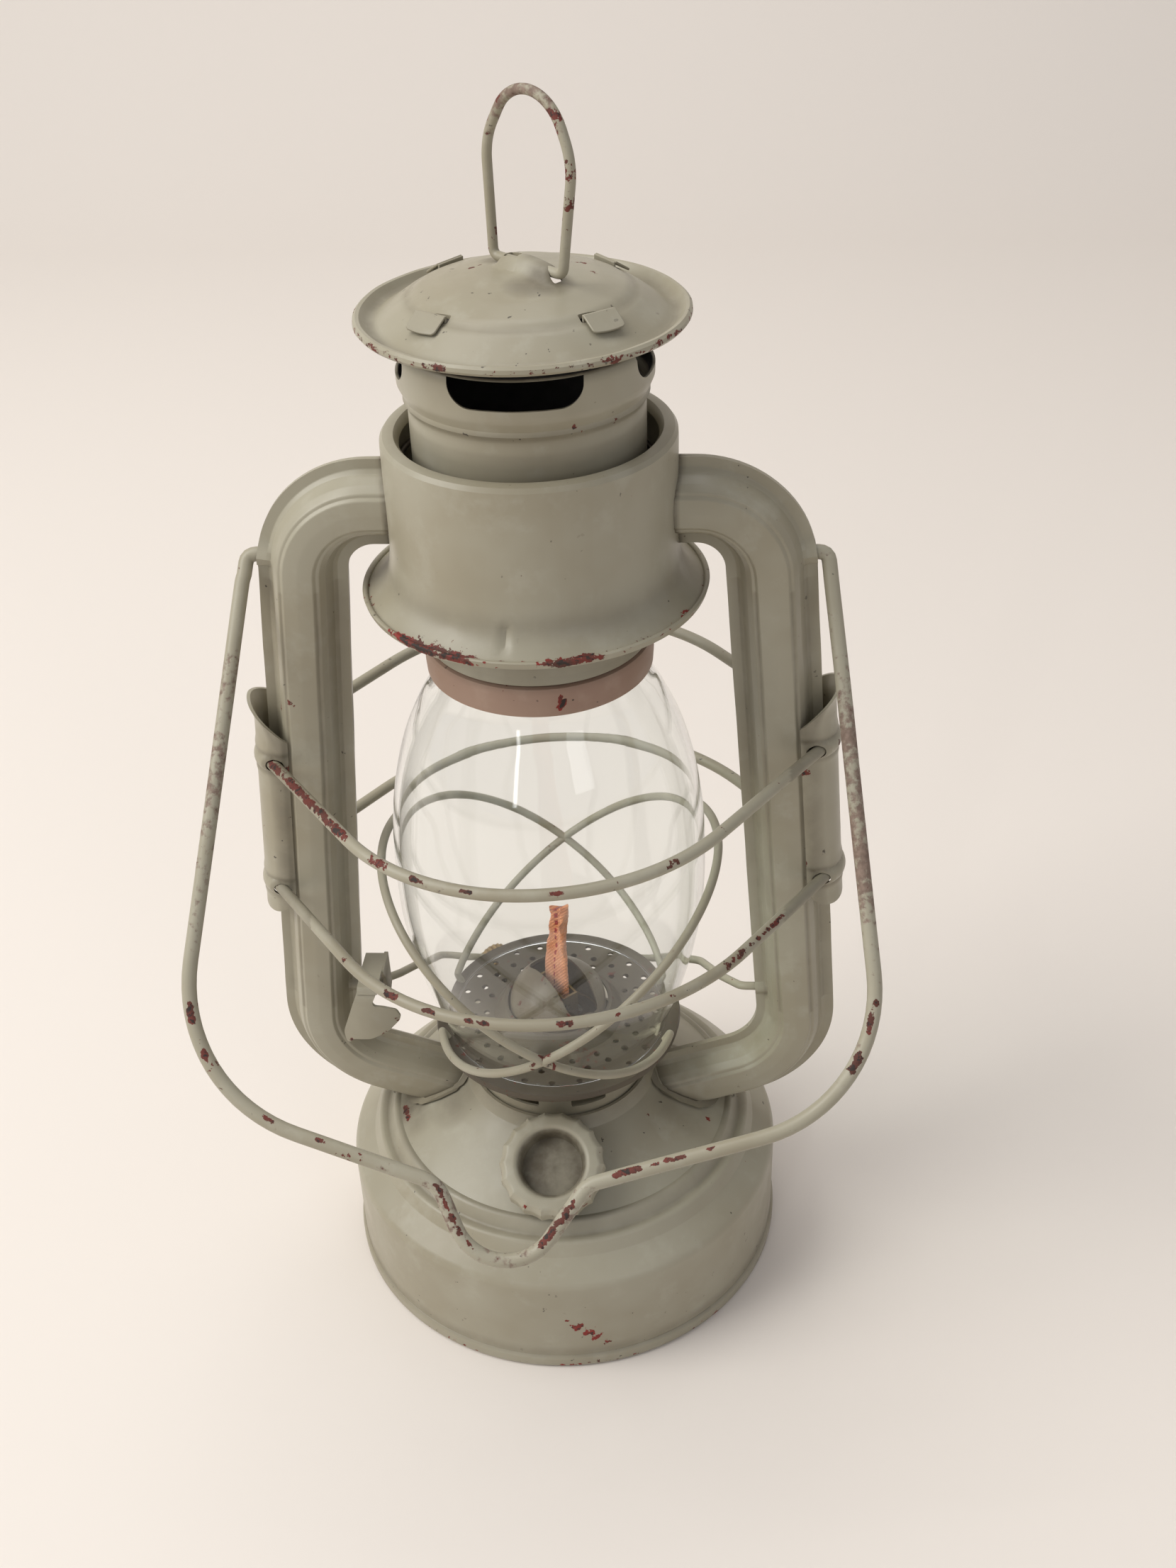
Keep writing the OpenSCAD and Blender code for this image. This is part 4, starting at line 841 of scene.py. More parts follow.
def clips():
    for side, s in (("right", 1), ("left", -1)):
        v, f = clip_mesh(s)
        w = v * np.array([s, 1, 1])
        ob = make(f"{side}_clip_sheet", w, f, "frame", "painted_sheet", (f"{side}_guard_clip",))
        tools = []
        for hz in HOOPS:
            sx, sy = hoop_corners(hz)
            for sy_ in (1, -1):
                a = np.array([s * (sx - 6.0 / 1.296), sy_ * 6.0, hz])
                b = np.array([s * (sx - 12 / 1.296), sy_ * 12.0, hz])
                a[2] += hoop_tilt(a[0], a[1])
                b[2] += hoop_tilt(b[0], b[1])
                tools.append(wire(np.array([a, b]), lambda t: 1.45 + 0.35, 24, step=1.0))
        ob = cut(ob, tools)
        give(ob, paint_sheet)
        bevel(ob, 0.15, 2)
        spots = [(s * 62, -8, 157, 2.4, 1.1), (s * 63, -8.3, 129, 2, 1.1), (s * 63, -8, 117, 3, 1.0), (s * 70, -4, 163, 1.6, 1.0), (s * 71, -3, 119, 2, 1.0)]
        # Painted shade: darker along the clip's edges beside the tube and in bands just above and below each hoop.
        paint_marks(ob, chip=lambda c: near(c, spots), grime=lambda c: 0.6 * np.clip(1 - (8 - np.abs(c[:, 1])) / 1.0, 0, 1)
                    + 0.5 * np.exp(-((np.abs(c[:, 2] - HOOPS[0] - hoop_tilt(65 * s, 0)) - 2.6) / 0.7) ** 2)
                    + 0.5 * np.exp(-((np.abs(c[:, 2] - HOOPS[1] - hoop_tilt(65 * s, 0)) - 2.6) / 0.7) ** 2))


# ---------------------------------------------------------------- bail and hanging ring
def bail():
    lean = math.radians(36)
    c = [(58.8, 0, 0), (65.5, 0, 2), (79.0, 122, 34), (12.4, 141.2, 6), (0.5, 158.4, 12), (-14, 158.2, 12), (-21.5, 141.2, 8),
         (-81.8, 122, 36), (-65.5, 0, 2), (-58.8, 0, 0)]
    p = rounded(c, 16, 0.9)
    q = np.stack([p[:, 0], -p[:, 1] * math.sin(lean), BAIL_Z - p[:, 1] * math.cos(lean)], 1)
    q = resample(q, 1.0)
    for k in q[12:-12]:
        k += 0.35 * np.array(noise.noise_vector(Vector(k / 45)))
    v, f = wire(q, 1.7, 28, False, 0.9)
    ob = give(make("bail_wire", v, f, "bail", "painted_wire", ("bail",)), paint_wire)

    def worn(c):
        s = (BAIL_Z - c[:, 2]) / math.cos(lean)
        side = np.exp(-((s - 55) / 38) ** 2) * 0.75 + np.exp(-((s - 150) / 12) ** 2) * 0.65
        return np.clip(0.18 + 0.75 * side, 0, 1)

    def at(x):
        k = min(range(len(q)), key=lambda i: abs(q[i][0] - x) + 1000 * (q[i][2] > 130))
        return q[k] + np.array([0, -0.6, 1.3])
    marks = [(-20.5, -18.5, 1.2), (-18.2, -15.5, 1.4), (-15, -13.2, 1.1), (-21.6, -21.2, 0.9), (2.2, 6.8, 1.5), (7.4, 9.4, 1.3), (18, 24, 1.25), (26.5, 28, 0.9), (30, 31.5, 1.2),
             (33, 34, 1.1), (40, 41, 0.9), (-48, -46, 0.9), (-60, -58.5, 1.1), (70.5, 72.5, 1.5), (74.5, 76.5, 1.4), (77.8, 79.2, 1.2), (-75, -73.5, 1.2), (-77.5, -76.5, 1.3)]
    runs = [(at(x0), at(x1), 0.85 * radius, 1.0) for x0, x1, radius in marks]
    paint_marks(ob, worn=worn, chip=lambda c: 0.2 + dashes(c, runs))


def hanging_ring():
    c = [(2.8, 0, 0), (9.8, 0, 1.6), (13.4, 22, 14), (3.4, 45, 10), (-10.9, 23, 14), (-10.5, 0, 1.6), (-2.8, 0, 0)]
    p = rounded(c, 16, 0.9)
    d = np.array([math.cos(RING_TURN), math.sin(RING_TURN)])
    x = p[:, 0] + 2.6
    q = np.stack([x * d[0], x * d[1], 276.5 + p[:, 1]], 1)
    v, f = wire(q, 1.05, 20, False, 0.6)
    ob = give(make("hanging_ring_wire", v, f, "hanging_ring", "painted_wire", ("ring_handle",)), paint_wire)
    top = [(-3.5, 2, 312), (-8, 6, 305), (-8.5, 7, 300), (8, -8, 306), (11, -10.5, 297), (11.5, -11, 292)]
    paint_marks(ob, worn=lambda c: np.clip((c[:, 2] - 292) / 12, 0, 1) * 0.7, chip=lambda c: 0.26 + 0.1 * (c[:, 2] > 300) + near(c, [(x, y, z, 3, 0.6) for x, y, z in top]))


# ---------------------------------------------------------------- chimney
def chimney():
    out = rounded([(25.4, 204.1, 0), (25.4, 248.6, 0), (26.3, 249.6, 0.5), (26.0, 250.8, 0.4), (27.3, 253.4, 2.2), (27.3, 261.0, 2.5), (25.2, 263.6, 1.5), (16, 264.4, 0)], 6)
    body = resample(out, 1.0)
    v, f = revolve(sheet(body, 0.7), 200)
    ob = make("chimney_skin", v, f, "chimney_unit", "painted_sheet", ("chimney_tube",))
    tools = []
    for k in range(4):
        w = 13.2 if k != 3 else 13.6
        o = rounded([(-w, 6, 0), (-w, 0, 4.6), (w, 0, 4.6), (w, 6, 0)], 10, 0.8)
        m = rot("Z", 90 * k) @ move(18, 0, 255.6) @ rot("Z", 90) @ rot("X", 90)
        tools.append(placed(plate(o, -16), m @ np.diag([1, 1, -1, 1])))
    cut(ob, tools)
    give(ob, paint_sheet)
    bevel(ob, 0.18, 2, 40)
    # Painted shade: a band at the neck step, under the canopy and on the part inside the chamber, and near-black on the
    # inside of the tube.
    paint_marks(ob, chip=lambda c: near(c, [(12, -23, 250, 3, 0.8), (20, -17, 250, 2.5, 0.7)]),
                grime=lambda c: 0.6 * np.exp(-((c[:, 2] - 249.4) / 0.9) ** 2) + 0.35 * np.exp(-((c[:, 2] - 263) / 2) ** 2) + 0.25 * (c[:, 2] < 246)
                + 2.0 * (np.hypot(c[:, 0], c[:, 1]) < np.where(c[:, 2] > 252, 26.75, 24.9)) * (c[:, 2] < 263.2))
    seat = rounded([(25.2, 205.3, 0), (30.2, 205.3, 0.3), (30.2, 206.1, 0.3), (25.2, 206.1, 0)], 3)
    v, f = revolve(seat, 120)
    give(make("spring_seat", v, f, "chimney_unit", "painted_sheet"), paint_sheet)
    # collar and pierced ring
    col = rounded([(26.3, 184.0, 0), (26.5, 187.0, 2), (26.3, 190.2, 0), (26.1, 191.2, 0.6), (24.7, 191.2, 0)], 5)
    v, f = revolve(sheet(resample(col, 0.8), 0.6), 180, lambda a, r, z: 0.06 * math.sin(4 * a + 1))
    ob = give(make("globe_collar_band", v, f, "chimney_unit", "bare_metal", ("globe_collar",)), pink)
    # Painted shade at the collar's top edge under the pierced ring.
    paint_marks(ob, chip=lambda c: near(c, [(7.0, -25.6, 187.4, 1.3, 1.8), (6.4, -25.7, 188.8, 0.9, 1.6), (6.2, -25.8, 186.2, 1.0, 1.7)]), grime=lambda c: 0.3 * np.exp(-((c[:, 2] - 191) / 1.0) ** 2))
    ring = rounded([(24.7, 191.5, 0), (25.9, 191.5, 0.4), (25.6, 193.6, 1), (25.3, 204.0, 0), (24.7, 204.0, 0)], 4)
    v, f = revolve(ring, 192)
    ob = make("pierced_ring", v, f, "chimney_unit", "painted_sheet", ("collar_ring",))
    tools = []
    for k in range(16):
        o = [(1.15 * math.cos(t), 1.15 * math.sin(t)) for t in np.linspace(0, 2 * math.pi, 20, endpoint=False)]
        tools.append(placed(plate(o, 6), rot("Z", 11.25 + 22.5 * k) @ move(22, 0, 200) @ rot("Y", 90)))
    cut(ob, tools)
    give(ob, paint_sheet)
    # The ring is darkened all over as painted shade between the bell and the collar.
    paint_marks(ob, grime=lambda c: 0.3 + 0 * c[:, 0])


TAB_TWIST = (-8, 8, 12, -9)


def canopy():
    out = rounded([(33.9, 265.5, 0), (35.1, 266.0, 0.8), (35.1, 267.4, 0.9), (33.9, 267.9, 0.7), (32.2, 265.9, 1.4), (30.8, 265.9, 1.6),
                   (24.6, 270.2, 1.5), (23.4, 270.6, 0.9), (21.6, 271.9, 1.6), (16, 273.7, 12), (9, 275.0, 12), (0.01, 275.4, 0)], 7)
    body = resample(out, 0.8)
    v, f = revolve(sheet(body, 0.7), 216)
    d = np.array([math.cos(RING_TURN), math.sin(RING_TURN)])
    # raised bridge for the ring's feet
    for i, p in enumerate(v):
        x, y = p[0] * d[0] + p[1] * d[1] - 2.6, -p[0] * d[1] + p[1] * d[0]
        k = math.exp(-(y / 2.3) ** 4) * (1 / (1 + math.exp((abs(x) - 7.4) / 0.35)))
        if p[2] > 270:
            v[i][2] += 2.6 * k * math.cos(min(1.0, abs(x) / 12)) + 0.35 * math.exp(-(y / 4.5) ** 2 - (x / 11) ** 2)
    v = ripple(v, 0.10, 9.0, 8.0)
    ob = make("canopy_skin", v, f, "chimney_unit", "painted_sheet", ("canopy",))
    tools = []
    for k in range(4):
        a = 45 + 90 * k
        tools.append(placed(plate(capsule_box((-1.3, -4.15), (0.5, 4.15), 0.35), 12), rot("Z", a) @ move(23.3, 0, 264) @ rot("Z", TAB_TWIST[k])))
    m = rot("Z", math.degrees(RING_TURN))
    tools.append(placed(plate(capsule_box((-3.6, -1.3), (0.4, 1.3), 0.4), 12), m @ move(0, 0, 268)))
    for x0 in (9.4, -5.6):
        tools.append(placed(plate(capsule_box((x0, -1.25), (x0 + 1.7, 1.25), 0.5), 12), m @ move(0, 0, 268)))
    cut(ob, tools)
    give(ob, paint_top)

    def chips(c):
        r, a = np.hypot(c[:, 0], c[:, 1]), np.degrees(np.arctan2(c[:, 1], c[:, 0]))
        rim = np.clip((r - 34.2) / 0.8, 0, 1)
        side = 0.55 + 0.25 * np.exp(-((a + 140) / 35) ** 2) + 0.12 * np.exp(-((a + 35) / 20) ** 2)
        return np.clip(rim * side, 0, 1) + near(c, [(13.7, 1.4, 273, 3.2, 1.0), (12, 6, 273.5, 3.0, 0.95), (-10, 2.3, 274, 1.6, 1.1), (-8.5, 3.4, 274.5, 1.3, 1.0), (1.8, -23, 269, 1.6, 0.85), (22, -23, 268, 2.2, 0.95), (8.5, 10, 273.5, 2, 0.9)])

    # Oil stains on top, and painted shade in the valley inside the rim and around the chimney's neck.
    def grime(c):
        r = np.hypot(c[:, 0], c[:, 1])
        oil = near(c, [(5.5, -7.5, 275, 6.5, 1.0), (2.0, -9.5, 275, 5.5, 0.7), (3, -1, 276, 4, 0.8), (-6, 7, 275, 4, 0.7)])
        return oil + 0.55 * np.exp(-((r - 31.6) / 1.1) ** 2) + 0.35 * np.exp(-((r - 23.6) / 0.8) ** 2)
    paint_marks(ob, chip=chips, grime=grime)
    # tabs folded over the canopy
    slope = math.degrees(math.atan2(270.2 - 265.9, 30.8 - 24.6))
    for k in range(4):
        o = rounded([(0.0, -3.8, 0), (4.6, -3.7, 1.0), (5.1, 0, 14), (4.7, 3.7, 1.0), (0.0, 3.8, 0)], 5)
        leg = plate([(-0.35, -3.7), (0.2, -3.7), (0.2, 3.7), (-0.35, 3.7)], -7.6)
        m = rot("Z", 45 + 90 * k) @ move(23.3, 0, 271.75) @ rot("Z", TAB_TWIST[k]) @ rot("Y", slope - 2)
        tab = placed(plate(o, 0.5), m)
        leg = placed(leg, rot("Z", 45 + 90 * k) @ move(23.3, 0, 272.0) @ rot("Z", TAB_TWIST[k]))
        ob = give(make(f"canopy_tab_{k}", *join(tab, leg), "chimney_unit", "painted_sheet"), paint_top)
        bevel(ob, 0.16, 2)
        paint_marks(ob, grime=lambda c: 0.15 + 0 * c[:, 0])


def spring():
    turns, n = 4.0, 460
    t = np.linspace(0, 1, n)
    a = 2 * math.pi * turns * t
    z = 207.4 + 29.6 * np.clip((t - 0.06) / 0.88, 0, 1)
    v, f = wire(np.stack([28.4 * np.cos(a), 28.4 * np.sin(a), z], 1), 0.7, 12, False, 1.2)
    ob = give(make("chimney_coil", v, f, "frame", "spring_steel", ("chimney_spring",)), spring_mat)
    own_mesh(ob)


# ---------------------------------------------------------------- globe and what holds it
def globe():
    pts = [(29.6, 73.45), (30.0, 76.0), (31.2, 80), (34.2, 90), (37, 102), (38.7, 115), (39, 128), (38.4, 141), (36.6, 153), (33.6, 164),
           (29.6, 173), (26.6, 178.6), (25.2, 183.4), (24.8, 187.2), (24.7, 190.3)]
    p = smooth_path(pts, 6)
    o = sheet(p, 1.5)
    n = len(p)
    top = [(p[-1][0] - 0.75 + 0.75 * math.cos(t), p[-1][1] - 0.2 + 0.55 * math.sin(t)) for t in np.linspace(0.3, math.pi - 0.3, 7)]
    low = [(p[0][0] - 0.75 - 0.75 * math.cos(t), p[0][1] + 0.4 - 0.4 * math.sin(t)) for t in np.linspace(0.3, math.pi - 0.3, 7)]
    rim = [(q[0], q[1]) for q in p[1:-1]] + top + [(q[0], q[1]) for q in o[n + 1:-1]] + low
    v, f = revolve(rim, 200, lambda a, r, z: 0.07 * math.sin(2 * a))
    give(make("globe_glass_body", v, f, "globe_carrier", "clear_glass", ("globe",), sharp=60), glass)


def globe_plate():
    out = rounded([(31.8, 71.0, 0), (32.7, 71.2, 0.5), (33.0, 72.8, 0.7), (32.4, 73.5, 0.5), (31.2, 73.4, 0.5), (29.9, 73.4, 0), (17.6, 73.4, 1.0),
                   (14.6, 77.8, 0.6), (13.6, 77.8, 0)], 5)
    v, f = revolve(sheet(resample(out, 1.0), 0.7), 180)
    v = ripple(v, 0.06, 7.0, 2.0)
    ob = make("perforated_plate", v, f, "globe_carrier", "painted_sheet", ("globe_plate",))
    tools = []
    for r, n, size, ph in ((26.8, 24, 0.9, 0), (22.8, 24, 0.9, 7.5), (19.6, 18, 0.85, 4)):
        for k in range(n):
            o = [(size * math.cos(t), size * math.sin(t)) for t in np.linspace(0, 2 * math.pi, 10, endpoint=False)]
            tools.append(placed(plate(o, 6), rot("Z", 360 * k / n + ph) @ move(r, 0, 70)))
    cut(ob, tools)
    give(ob, plate_paint)
    # The plate is darkened all over, with painted shade in a ring at the foot of the burner cone.
    paint_marks(ob, grime=lambda c: 0.45 + 0.4 * np.exp(-((np.hypot(c[:, 0], c[:, 1]) - 16) / 3) ** 2), chip=lambda c: 0.35 + 0 * c[:, 0])
    skirt = rounded([(24.6, 70.45, 0), (25.3, 70.45, 0.2), (25.3, 73.0, 0), (24.6, 73.0, 0)], 3)
    v, f = revolve(skirt, 140)
    give(make("plate_skirt", v, f, "globe_carrier", "painted_sheet"), plate_paint)


def crossed_hoops():
    th = math.radians(36.9)
    for name, s, node in (("right", 1, "cross_hoop_right"), ("left", -1, "cross_hoop_left")):
        a = np.radians(np.linspace(194, 526, 150))
        p = np.stack([46 * np.cos(a), 46 * np.sin(a), 0 * a], 1)
        q = np.stack([p[:, 0] * math.cos(th) + 5.5, p[:, 1], p[:, 0] * math.sin(th) + 102.1], 1)
        hook0 = [(q[0] + np.array([0.8, 0, -1.5])), q[0] + np.array([2.0, 0.4, -3.9])]
        hook1 = [(q[-1] + np.array([0.8, 0, -1.5])), q[-1] + np.array([2.0, -0.4, -3.9])]
        path = np.vstack([hook0[::-1], q, hook1])
        path = smooth_path(path, 2) * np.array([s, 1, 1])
        v, f = wire(path, 1.1, 20, False, 0.9)
        ob = give(make(f"crossed_hoop_{name}", v, f, "globe_carrier", "painted_wire", (node,)), paint_wire)
        paint_marks(ob, chip=lambda c: 0.12 + near(c, [(0, -46, 98, 6, 0.5), (-20, -40, 82, 6, 0.6)]), worn=lambda c: 0.2 + 0 * c[:, 0])


# ---------------------------------------------------------------- lift crank and lever
def lift():
    back = np.array([26.0, 69.3 - CRANK_Z])
    arm = np.linalg.norm(back)
    u = back / arm
    c = [(57, 0, 0), (49, 0, 2.5), (44, arm * 0.35, 6), (38, arm, 5), (-38, arm, 5), (-44, arm * 0.35, 6), (-49, 0, 2.5), (-57, 0, 0)]
    p = rounded(c, 10)
    q = np.stack([p[:, 0], p[:, 1] * u[0], CRANK_Z + p[:, 1] * u[1]], 1)
    v, f = wire(q, 1.1, 20, False, 0.8)
    ob = give(make("lift_crank_wire", v, f, "globe_lift", "painted_wire", ("lift_crank",)), paint_wire)
    paint_marks(ob, chip=lambda c: 0.15 + 0 * c[:, 0])
    # thumb leaf: a pressed, slightly cupped blade that hangs from a strip running forward from the crank
    o = rounded([(-51.0, 91.2, 0), (-52.6, 87.0, 6), (-55.8, 77.7, 5), (-55.3, 73.1, 0.8), (-53.2, 75.6, 2), (-48.6, 76.0, 4), (-43.8, 78.6, 4), (-40.1, 82.4, 1.8), (-41.2, 85.3, 2),
                 (-44.4, 86.8, 3), (-47.6, 87.5, 1.2), (-45.8, 91.2, 0)], 6)
    mesh = bmesh.new()
    face = mesh.faces.new([mesh.verts.new((x, z, 0)) for x, z in o])
    bmesh.ops.triangulate(mesh, faces=[face])
    for _ in range(2):
        bmesh.ops.subdivide_edges(mesh, edges=mesh.edges[:], cuts=1, use_grid_fill=False)
        bmesh.ops.triangulate(mesh, faces=mesh.faces[:])
    mesh.verts.index_update()
    pts = np.array([q.co[:] for q in mesh.verts])
    tris = [[q.index for q in fc.verts] for fc in mesh.faces]
    mesh.free()
    dx, dz = pts[:, 0] + 48.5, pts[:, 1] - 81
    depth = -15.0 + 0.022 * dx ** 2 + 0.006 * dz ** 2 + 0.9 * np.exp(-((pts[:, 1] - 91.2) / 1.2) ** 2)
    n = len(pts)
    edges = set()
    for t in tris:
        edges |= {(i, j) for i, j in zip(t, t[1:] + t[:1])}
    f = [tuple(t) for t in tris] + [tuple(i + n for i in reversed(t)) for t in tris]
    f += [(j, i, i + n, j + n) for i, j in edges if (j, i) not in edges]
    leaf = (np.vstack([np.stack([pts[:, 0], depth - 0.42, pts[:, 1]], 1), np.stack([pts[:, 0], depth + 0.42, pts[:, 1]], 1)]), f)
    # strip from the crank to the blade, and the ear that the crank's wire goes through
    run = rounded([(1.2, 91.8, 0), (-8.0, 92.6, 8), (-13.6, 92.3, 1.6), (-14.4, 90.8, 0)], 6)
    wide = np.interp(-run[:, 0], [-1.2, 14.4], [2.9, 2.6])
    mid = np.interp(-run[:, 0], [-1.2, 14.4], [-48.0, -48.4])
    line = sheet(run, 0.85)
    wide, mid = np.r_[wide, wide[::-1]], np.r_[mid, mid[::-1]]
    m = len(line)
    v = np.vstack([np.stack([mid - wide, line[:, 0], line[:, 1]], 1), np.stack([mid + wide, line[:, 0], line[:, 1]], 1)])
    h = m // 2
    f = [(i, (i + 1) % m, m + (i + 1) % m, m + i) for i in range(m)]
    f += [(i, i + 1, m - 2 - i, m - 1 - i) for i in range(h - 1)] + [(m + i + 1, m + i, 2 * m - 1 - i, 2 * m - 2 - i) for i in range(h - 1)]
    strip = (v, f)
    o = rounded([(2.3, 80.8, 1.5), (2.0, 91.9, 0.6), (-7.5, 92.4, 0.6), (-4.4, 88.0, 5), (-2.3, 80.6, 1.5), (0.2, 79.9, 1.2), (2.3, 80.8, 0)], 6)[:-1]
    finger = placed(plate(o, 0.95), np.array([[0, 0, 1, -46.0], [1, 0, 0, 0], [0, 1, 0, 0], [0, 0, 0, 1.0]]))
    leaf = join(leaf, strip)
    hub = wire(np.array([[-51.8, 0, CRANK_Z], [-47.0, 0, CRANK_Z]]), 2.0, 24, step=1.0)
    ob = give(make("lift_lever_leaf", *join(leaf, finger, hub), "globe_lift", "painted_sheet", ("lift_lever",)), paint_sheet)
    bevel(ob, 0.15, 2, 50)
    # Painted shade: the finger plate and the hub behind the blade are darkened.
    paint_marks(ob, chip=lambda c: near(c, [(-41, -15, 82, 2, 1.2), (-45, -15, 78, 1.5, 1.1), (-54, -15, 75, 1.5, 1.2)]), grime=lambda c: 0.2 + 0.6 * (c[:, 1] > -12) * (c[:, 2] < 90))


# ---------------------------------------------------------------- burner
def burner():
    cone_top, skirt = 88.6, 12.95
    prof = [(skirt, 68.0), (skirt, 77.0)]
    for a in np.linspace(4, 86, 22):
        prof.append((skirt * math.cos(math.radians(a)) + 0.01, 77 + 11.6 * math.sin(math.radians(a))))
    prof.append((0.01, cone_top))
    v, f = revolve(sheet(np.array(prof), 0.7), 120)
    ob = make("burner_cone_dome", v, f, "frame", "painted_sheet", ("burner_cone",))
    o = capsule_box((-8.6, -4.2), (12.2, 5.6), 2.6, 6)
    cut(ob, [placed(plate(o, 14), rot("Z", math.degrees(WICK_TURN)) @ move(0, 0, 79))])
    give(ob, cone_paint)
    bevel(ob, 0.2, 2, 40)
    side = np.array([-math.sin(WICK_TURN), math.cos(WICK_TURN)])
    # Darker along one edge of the wick slot, and painted shade on the skirt below the plate.
    paint_marks(ob, grime=lambda c: 0.15 + 0.85 * np.exp(-(((c[:, 0] * side[0] + c[:, 1] * side[1]) + 3.5) / 1.8) ** 2) + 0.5 * (c[:, 2] < 74),
                chip=lambda c: 0.3 + near(c, [(3, -7.5, 85, 4, 0.75), (5, -9, 82, 3, 0.8)]))
    # gallery with its slots
    gal = rounded([(22.7, 53.6, 0), (23.4, 53.6, 0), (23.4, 69.4, 0.3), (22.7, 69.4, 0)], 3)
    gal = np.vstack([gal])
    v, f = revolve(gal, 160)
    ob = make("gallery_wall", v, f, "frame", "painted_sheet", ("burner_gallery",))
    tools = []
    for k in range(8):
        o = capsule_box((-4.8, -2.6), (4.8, 2.6), 0.6, 4)
        tools.append(placed(plate(o, 6), rot("Z", 22.5 + 45 * k) @ move(20.5, 0, 62.4) @ rot("Y", 90) @ rot("Z", 90)))
    o = [(1.6 * math.cos(t), 1.6 * math.sin(t)) for t in np.linspace(0, 2 * math.pi, 20, endpoint=False)]
    hole = placed(plate(o, 10), rot("Z", math.degrees(WICK_TURN)) @ move(-28, 4.6, 60) @ rot("Y", 90))
    cut(ob, tools, [hole])
    give(ob, paint_sheet)
    # Painted shade darkens the gallery wall all over, under the globe plate.
    paint_marks(ob, grime=lambda c: 0.4 + 0 * c[:, 0])
    tray = rounded([(12.7, 51.3, 0), (23.0, 53.2, 0.5), (23.0, 54.0, 0), (12.7, 52.1, 0)], 3)
    v, f = revolve(tray, 120)
    give(make("gallery_tray", v, f, "frame", "painted_sheet"), paint_sheet)


def wick():
    rows, cols = 90, 13
    front, back = [], []
    for i in range(rows):
        z = 31 + (109 - 31) * i / (rows - 1)
        t = max(0, (z - 86) / 23)
        half = np.interp(t, [0, 0.15, 0.35, 0.55, 0.75, 0.83, 0.93, 1], [5.2, 4.9, 4.1, 3.2, 2.3, 2.2, 3.0, 2.3])
        half += 0.12 * math.sin(z * 2.3) * min(1, t * 3)
        for j in range(cols):
            s = -1 + 2 * j / (cols - 1)
            x = s * half + 1.4 * t + 0.25 * math.sin(z * 0.9) * t
            curl = 1.0 * t + 1.7 * t * math.cos(s * 2.4) + 0.35 * t * math.sin(z * 0.8 + 2 * s)
            thick = 1.1 * (1 + 0.15 * t) + 0.10 * math.sin(z * 3.1 + s * 5) * min(1, t * 4)
            edge = math.sqrt(max(0.05, 1 - abs(s) ** 4))
            zz = z + (0.5 * math.sin(s * 5 + 1) - 0.3 if i == rows - 1 else 0)
            front.append((x, -thick * edge + curl, zz))
            back.append((x, thick * edge + curl, zz))
    v = np.array(front + back)
    n = rows * cols
    f = grid_faces(rows, cols) + [tuple(k + n for k in reversed(q)) for q in grid_faces(rows, cols)]
    for i in range(rows - 1):
        for j in (0, cols - 1):
            f.append((i * cols + j, (i + 1) * cols + j, n + (i + 1) * cols + j, n + i * cols + j))
    for j in range(cols - 1):
        for i in (0, rows - 1):
            f.append((i * cols + j, i * cols + j + 1, n + i * cols + j + 1, n + i * cols + j))
    v, f = placed((v, f), rot("Z", math.degrees(WICK_TURN)))
    give(make("wick_ribbon", v, f, "wick", "wick_cotton", ("wick",), sharp=60), wick_mat)


tank()
filler()
tubes()
chamber()
hoops()
clips()
bail()
hanging_ring()
chimney()
canopy()
spring()
globe()
globe_plate()
crossed_hoops()
lift()
burner()
wick()

for n, m in (("burner_collar", brass), ("burner_body", brass), ("wick_tube", brass), ("wick_shaft", brass), ("wick_wheels", brass), ("wick_knob", brass)):
    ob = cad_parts[n]
    ob.data.materials.clear()
    ob.data.materials.append(m)


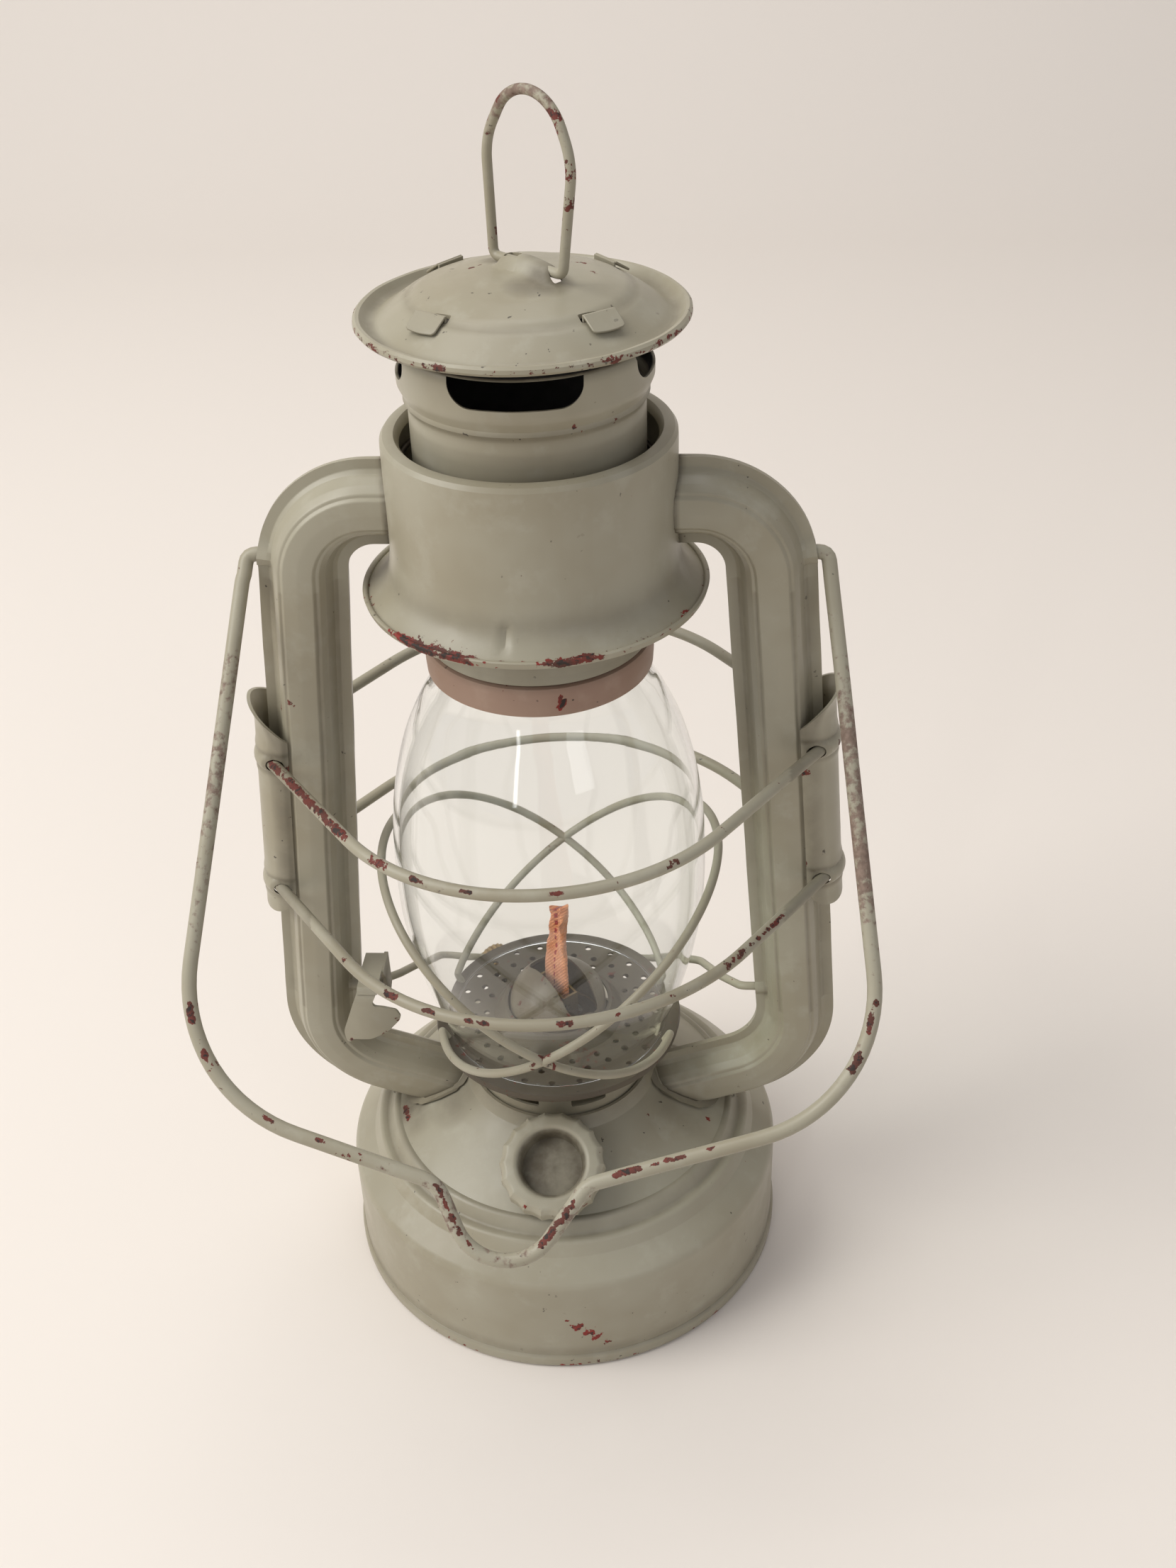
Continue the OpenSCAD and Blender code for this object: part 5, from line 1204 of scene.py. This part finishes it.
# ---------------------------------------------------------------- stage, light and camera
def stage():
    me = bpy.data.meshes.new("floor")
    rows, w = [], 3.0
    prof = [(-3.0, 0.0), (0.9, 0.0)] + [(0.9 + 0.5 * math.sin(t), 0.5 - 0.5 * math.cos(t)) for t in np.linspace(0.1, math.pi / 2, 12)] + [(1.4, 3.5)]
    for y, z in prof:
        rows += [(-w, y, z), (w, y, z)]
    me.from_pydata(rows, [], [(2 * i, 2 * i + 1, 2 * i + 3, 2 * i + 2) for i in range(len(prof) - 1)])
    me.polygons.foreach_set("use_smooth", [True] * len(me.polygons))
    ob = bpy.data.objects.new("floor", me)
    scene.collection.objects.link(ob)
    n = Nodes("floor_pale")
    n.shader(Base_Color=rgb(228, 220, 211), Roughness=0.8, Specular_IOR_Level=0.15)
    ob.data.materials.append(n.mat)


def area(name, place, aim, size, power, color=(1, 1, 1)):
    data = bpy.data.lights.new(name, "AREA")
    data.shape, data.size, data.size_y, data.energy, data.color = "RECTANGLE", size[0], size[1], power, color
    ob = bpy.data.objects.new(name, data)
    ob.location = place
    ob.rotation_mode = "QUATERNION"
    ob.rotation_quaternion = (Vector(place) - Vector(aim)).to_track_quat("Z", "Y")
    scene.collection.objects.link(ob)


stage()
area("key", (-1.15, -0.35, 1.25), (0, 0, 0.12), (0.9, 1.3), 21.5, (1.0, 0.99, 0.965))
area("fill", (0.9, -1.3, 0.9), (0, 0, 0.15), (0.5, 1.0), 2.2, (0.97, 0.98, 1.0))
area("window", (-0.42, -1.25, 0.62), (0, 0, 0.13), (0.07, 0.8), 1.1, (1.0, 1.0, 1.0))
area("top", (-0.2, 0.35, 1.7), (0, 0, 0.1), (1.2, 0.8), 8.5)
world = bpy.data.worlds.new("studio")
world.use_nodes = True
world.node_tree.nodes["Background"].inputs[0].default_value = (0.93, 0.94, 1.0, 1)
world.node_tree.nodes["Background"].inputs[1].default_value = 0.40
scene.world = world
scene.view_settings.view_transform = "Standard"

cam_data = bpy.data.cameras.new("camera")
cam_data.sensor_fit = "AUTO"
cam_data.sensor_width = 36.0
cam_data.lens = 36.0 * 2400 / 2212
cam = bpy.data.objects.new("camera", cam_data)
scene.collection.objects.link(cam)
heading, pitch, roll = math.radians(-3.82), math.radians(34.79), math.radians(-1.99)
fwd = Vector((math.sin(heading) * math.cos(pitch), math.cos(heading) * math.cos(pitch), -math.sin(pitch)))
right = Vector((math.cos(heading), -math.sin(heading), 0))
up = right.cross(fwd)
right2 = math.cos(roll) * right + math.sin(roll) * up
up2 = -math.sin(roll) * right + math.cos(roll) * up
m = Matrix((right2, up2, -fwd)).transposed().to_4x4()
m.translation = Vector((32.96, -342.32, 386.1)) * MM
cam.matrix_world = m
cam_data.clip_start = 0.01
scene.camera = cam
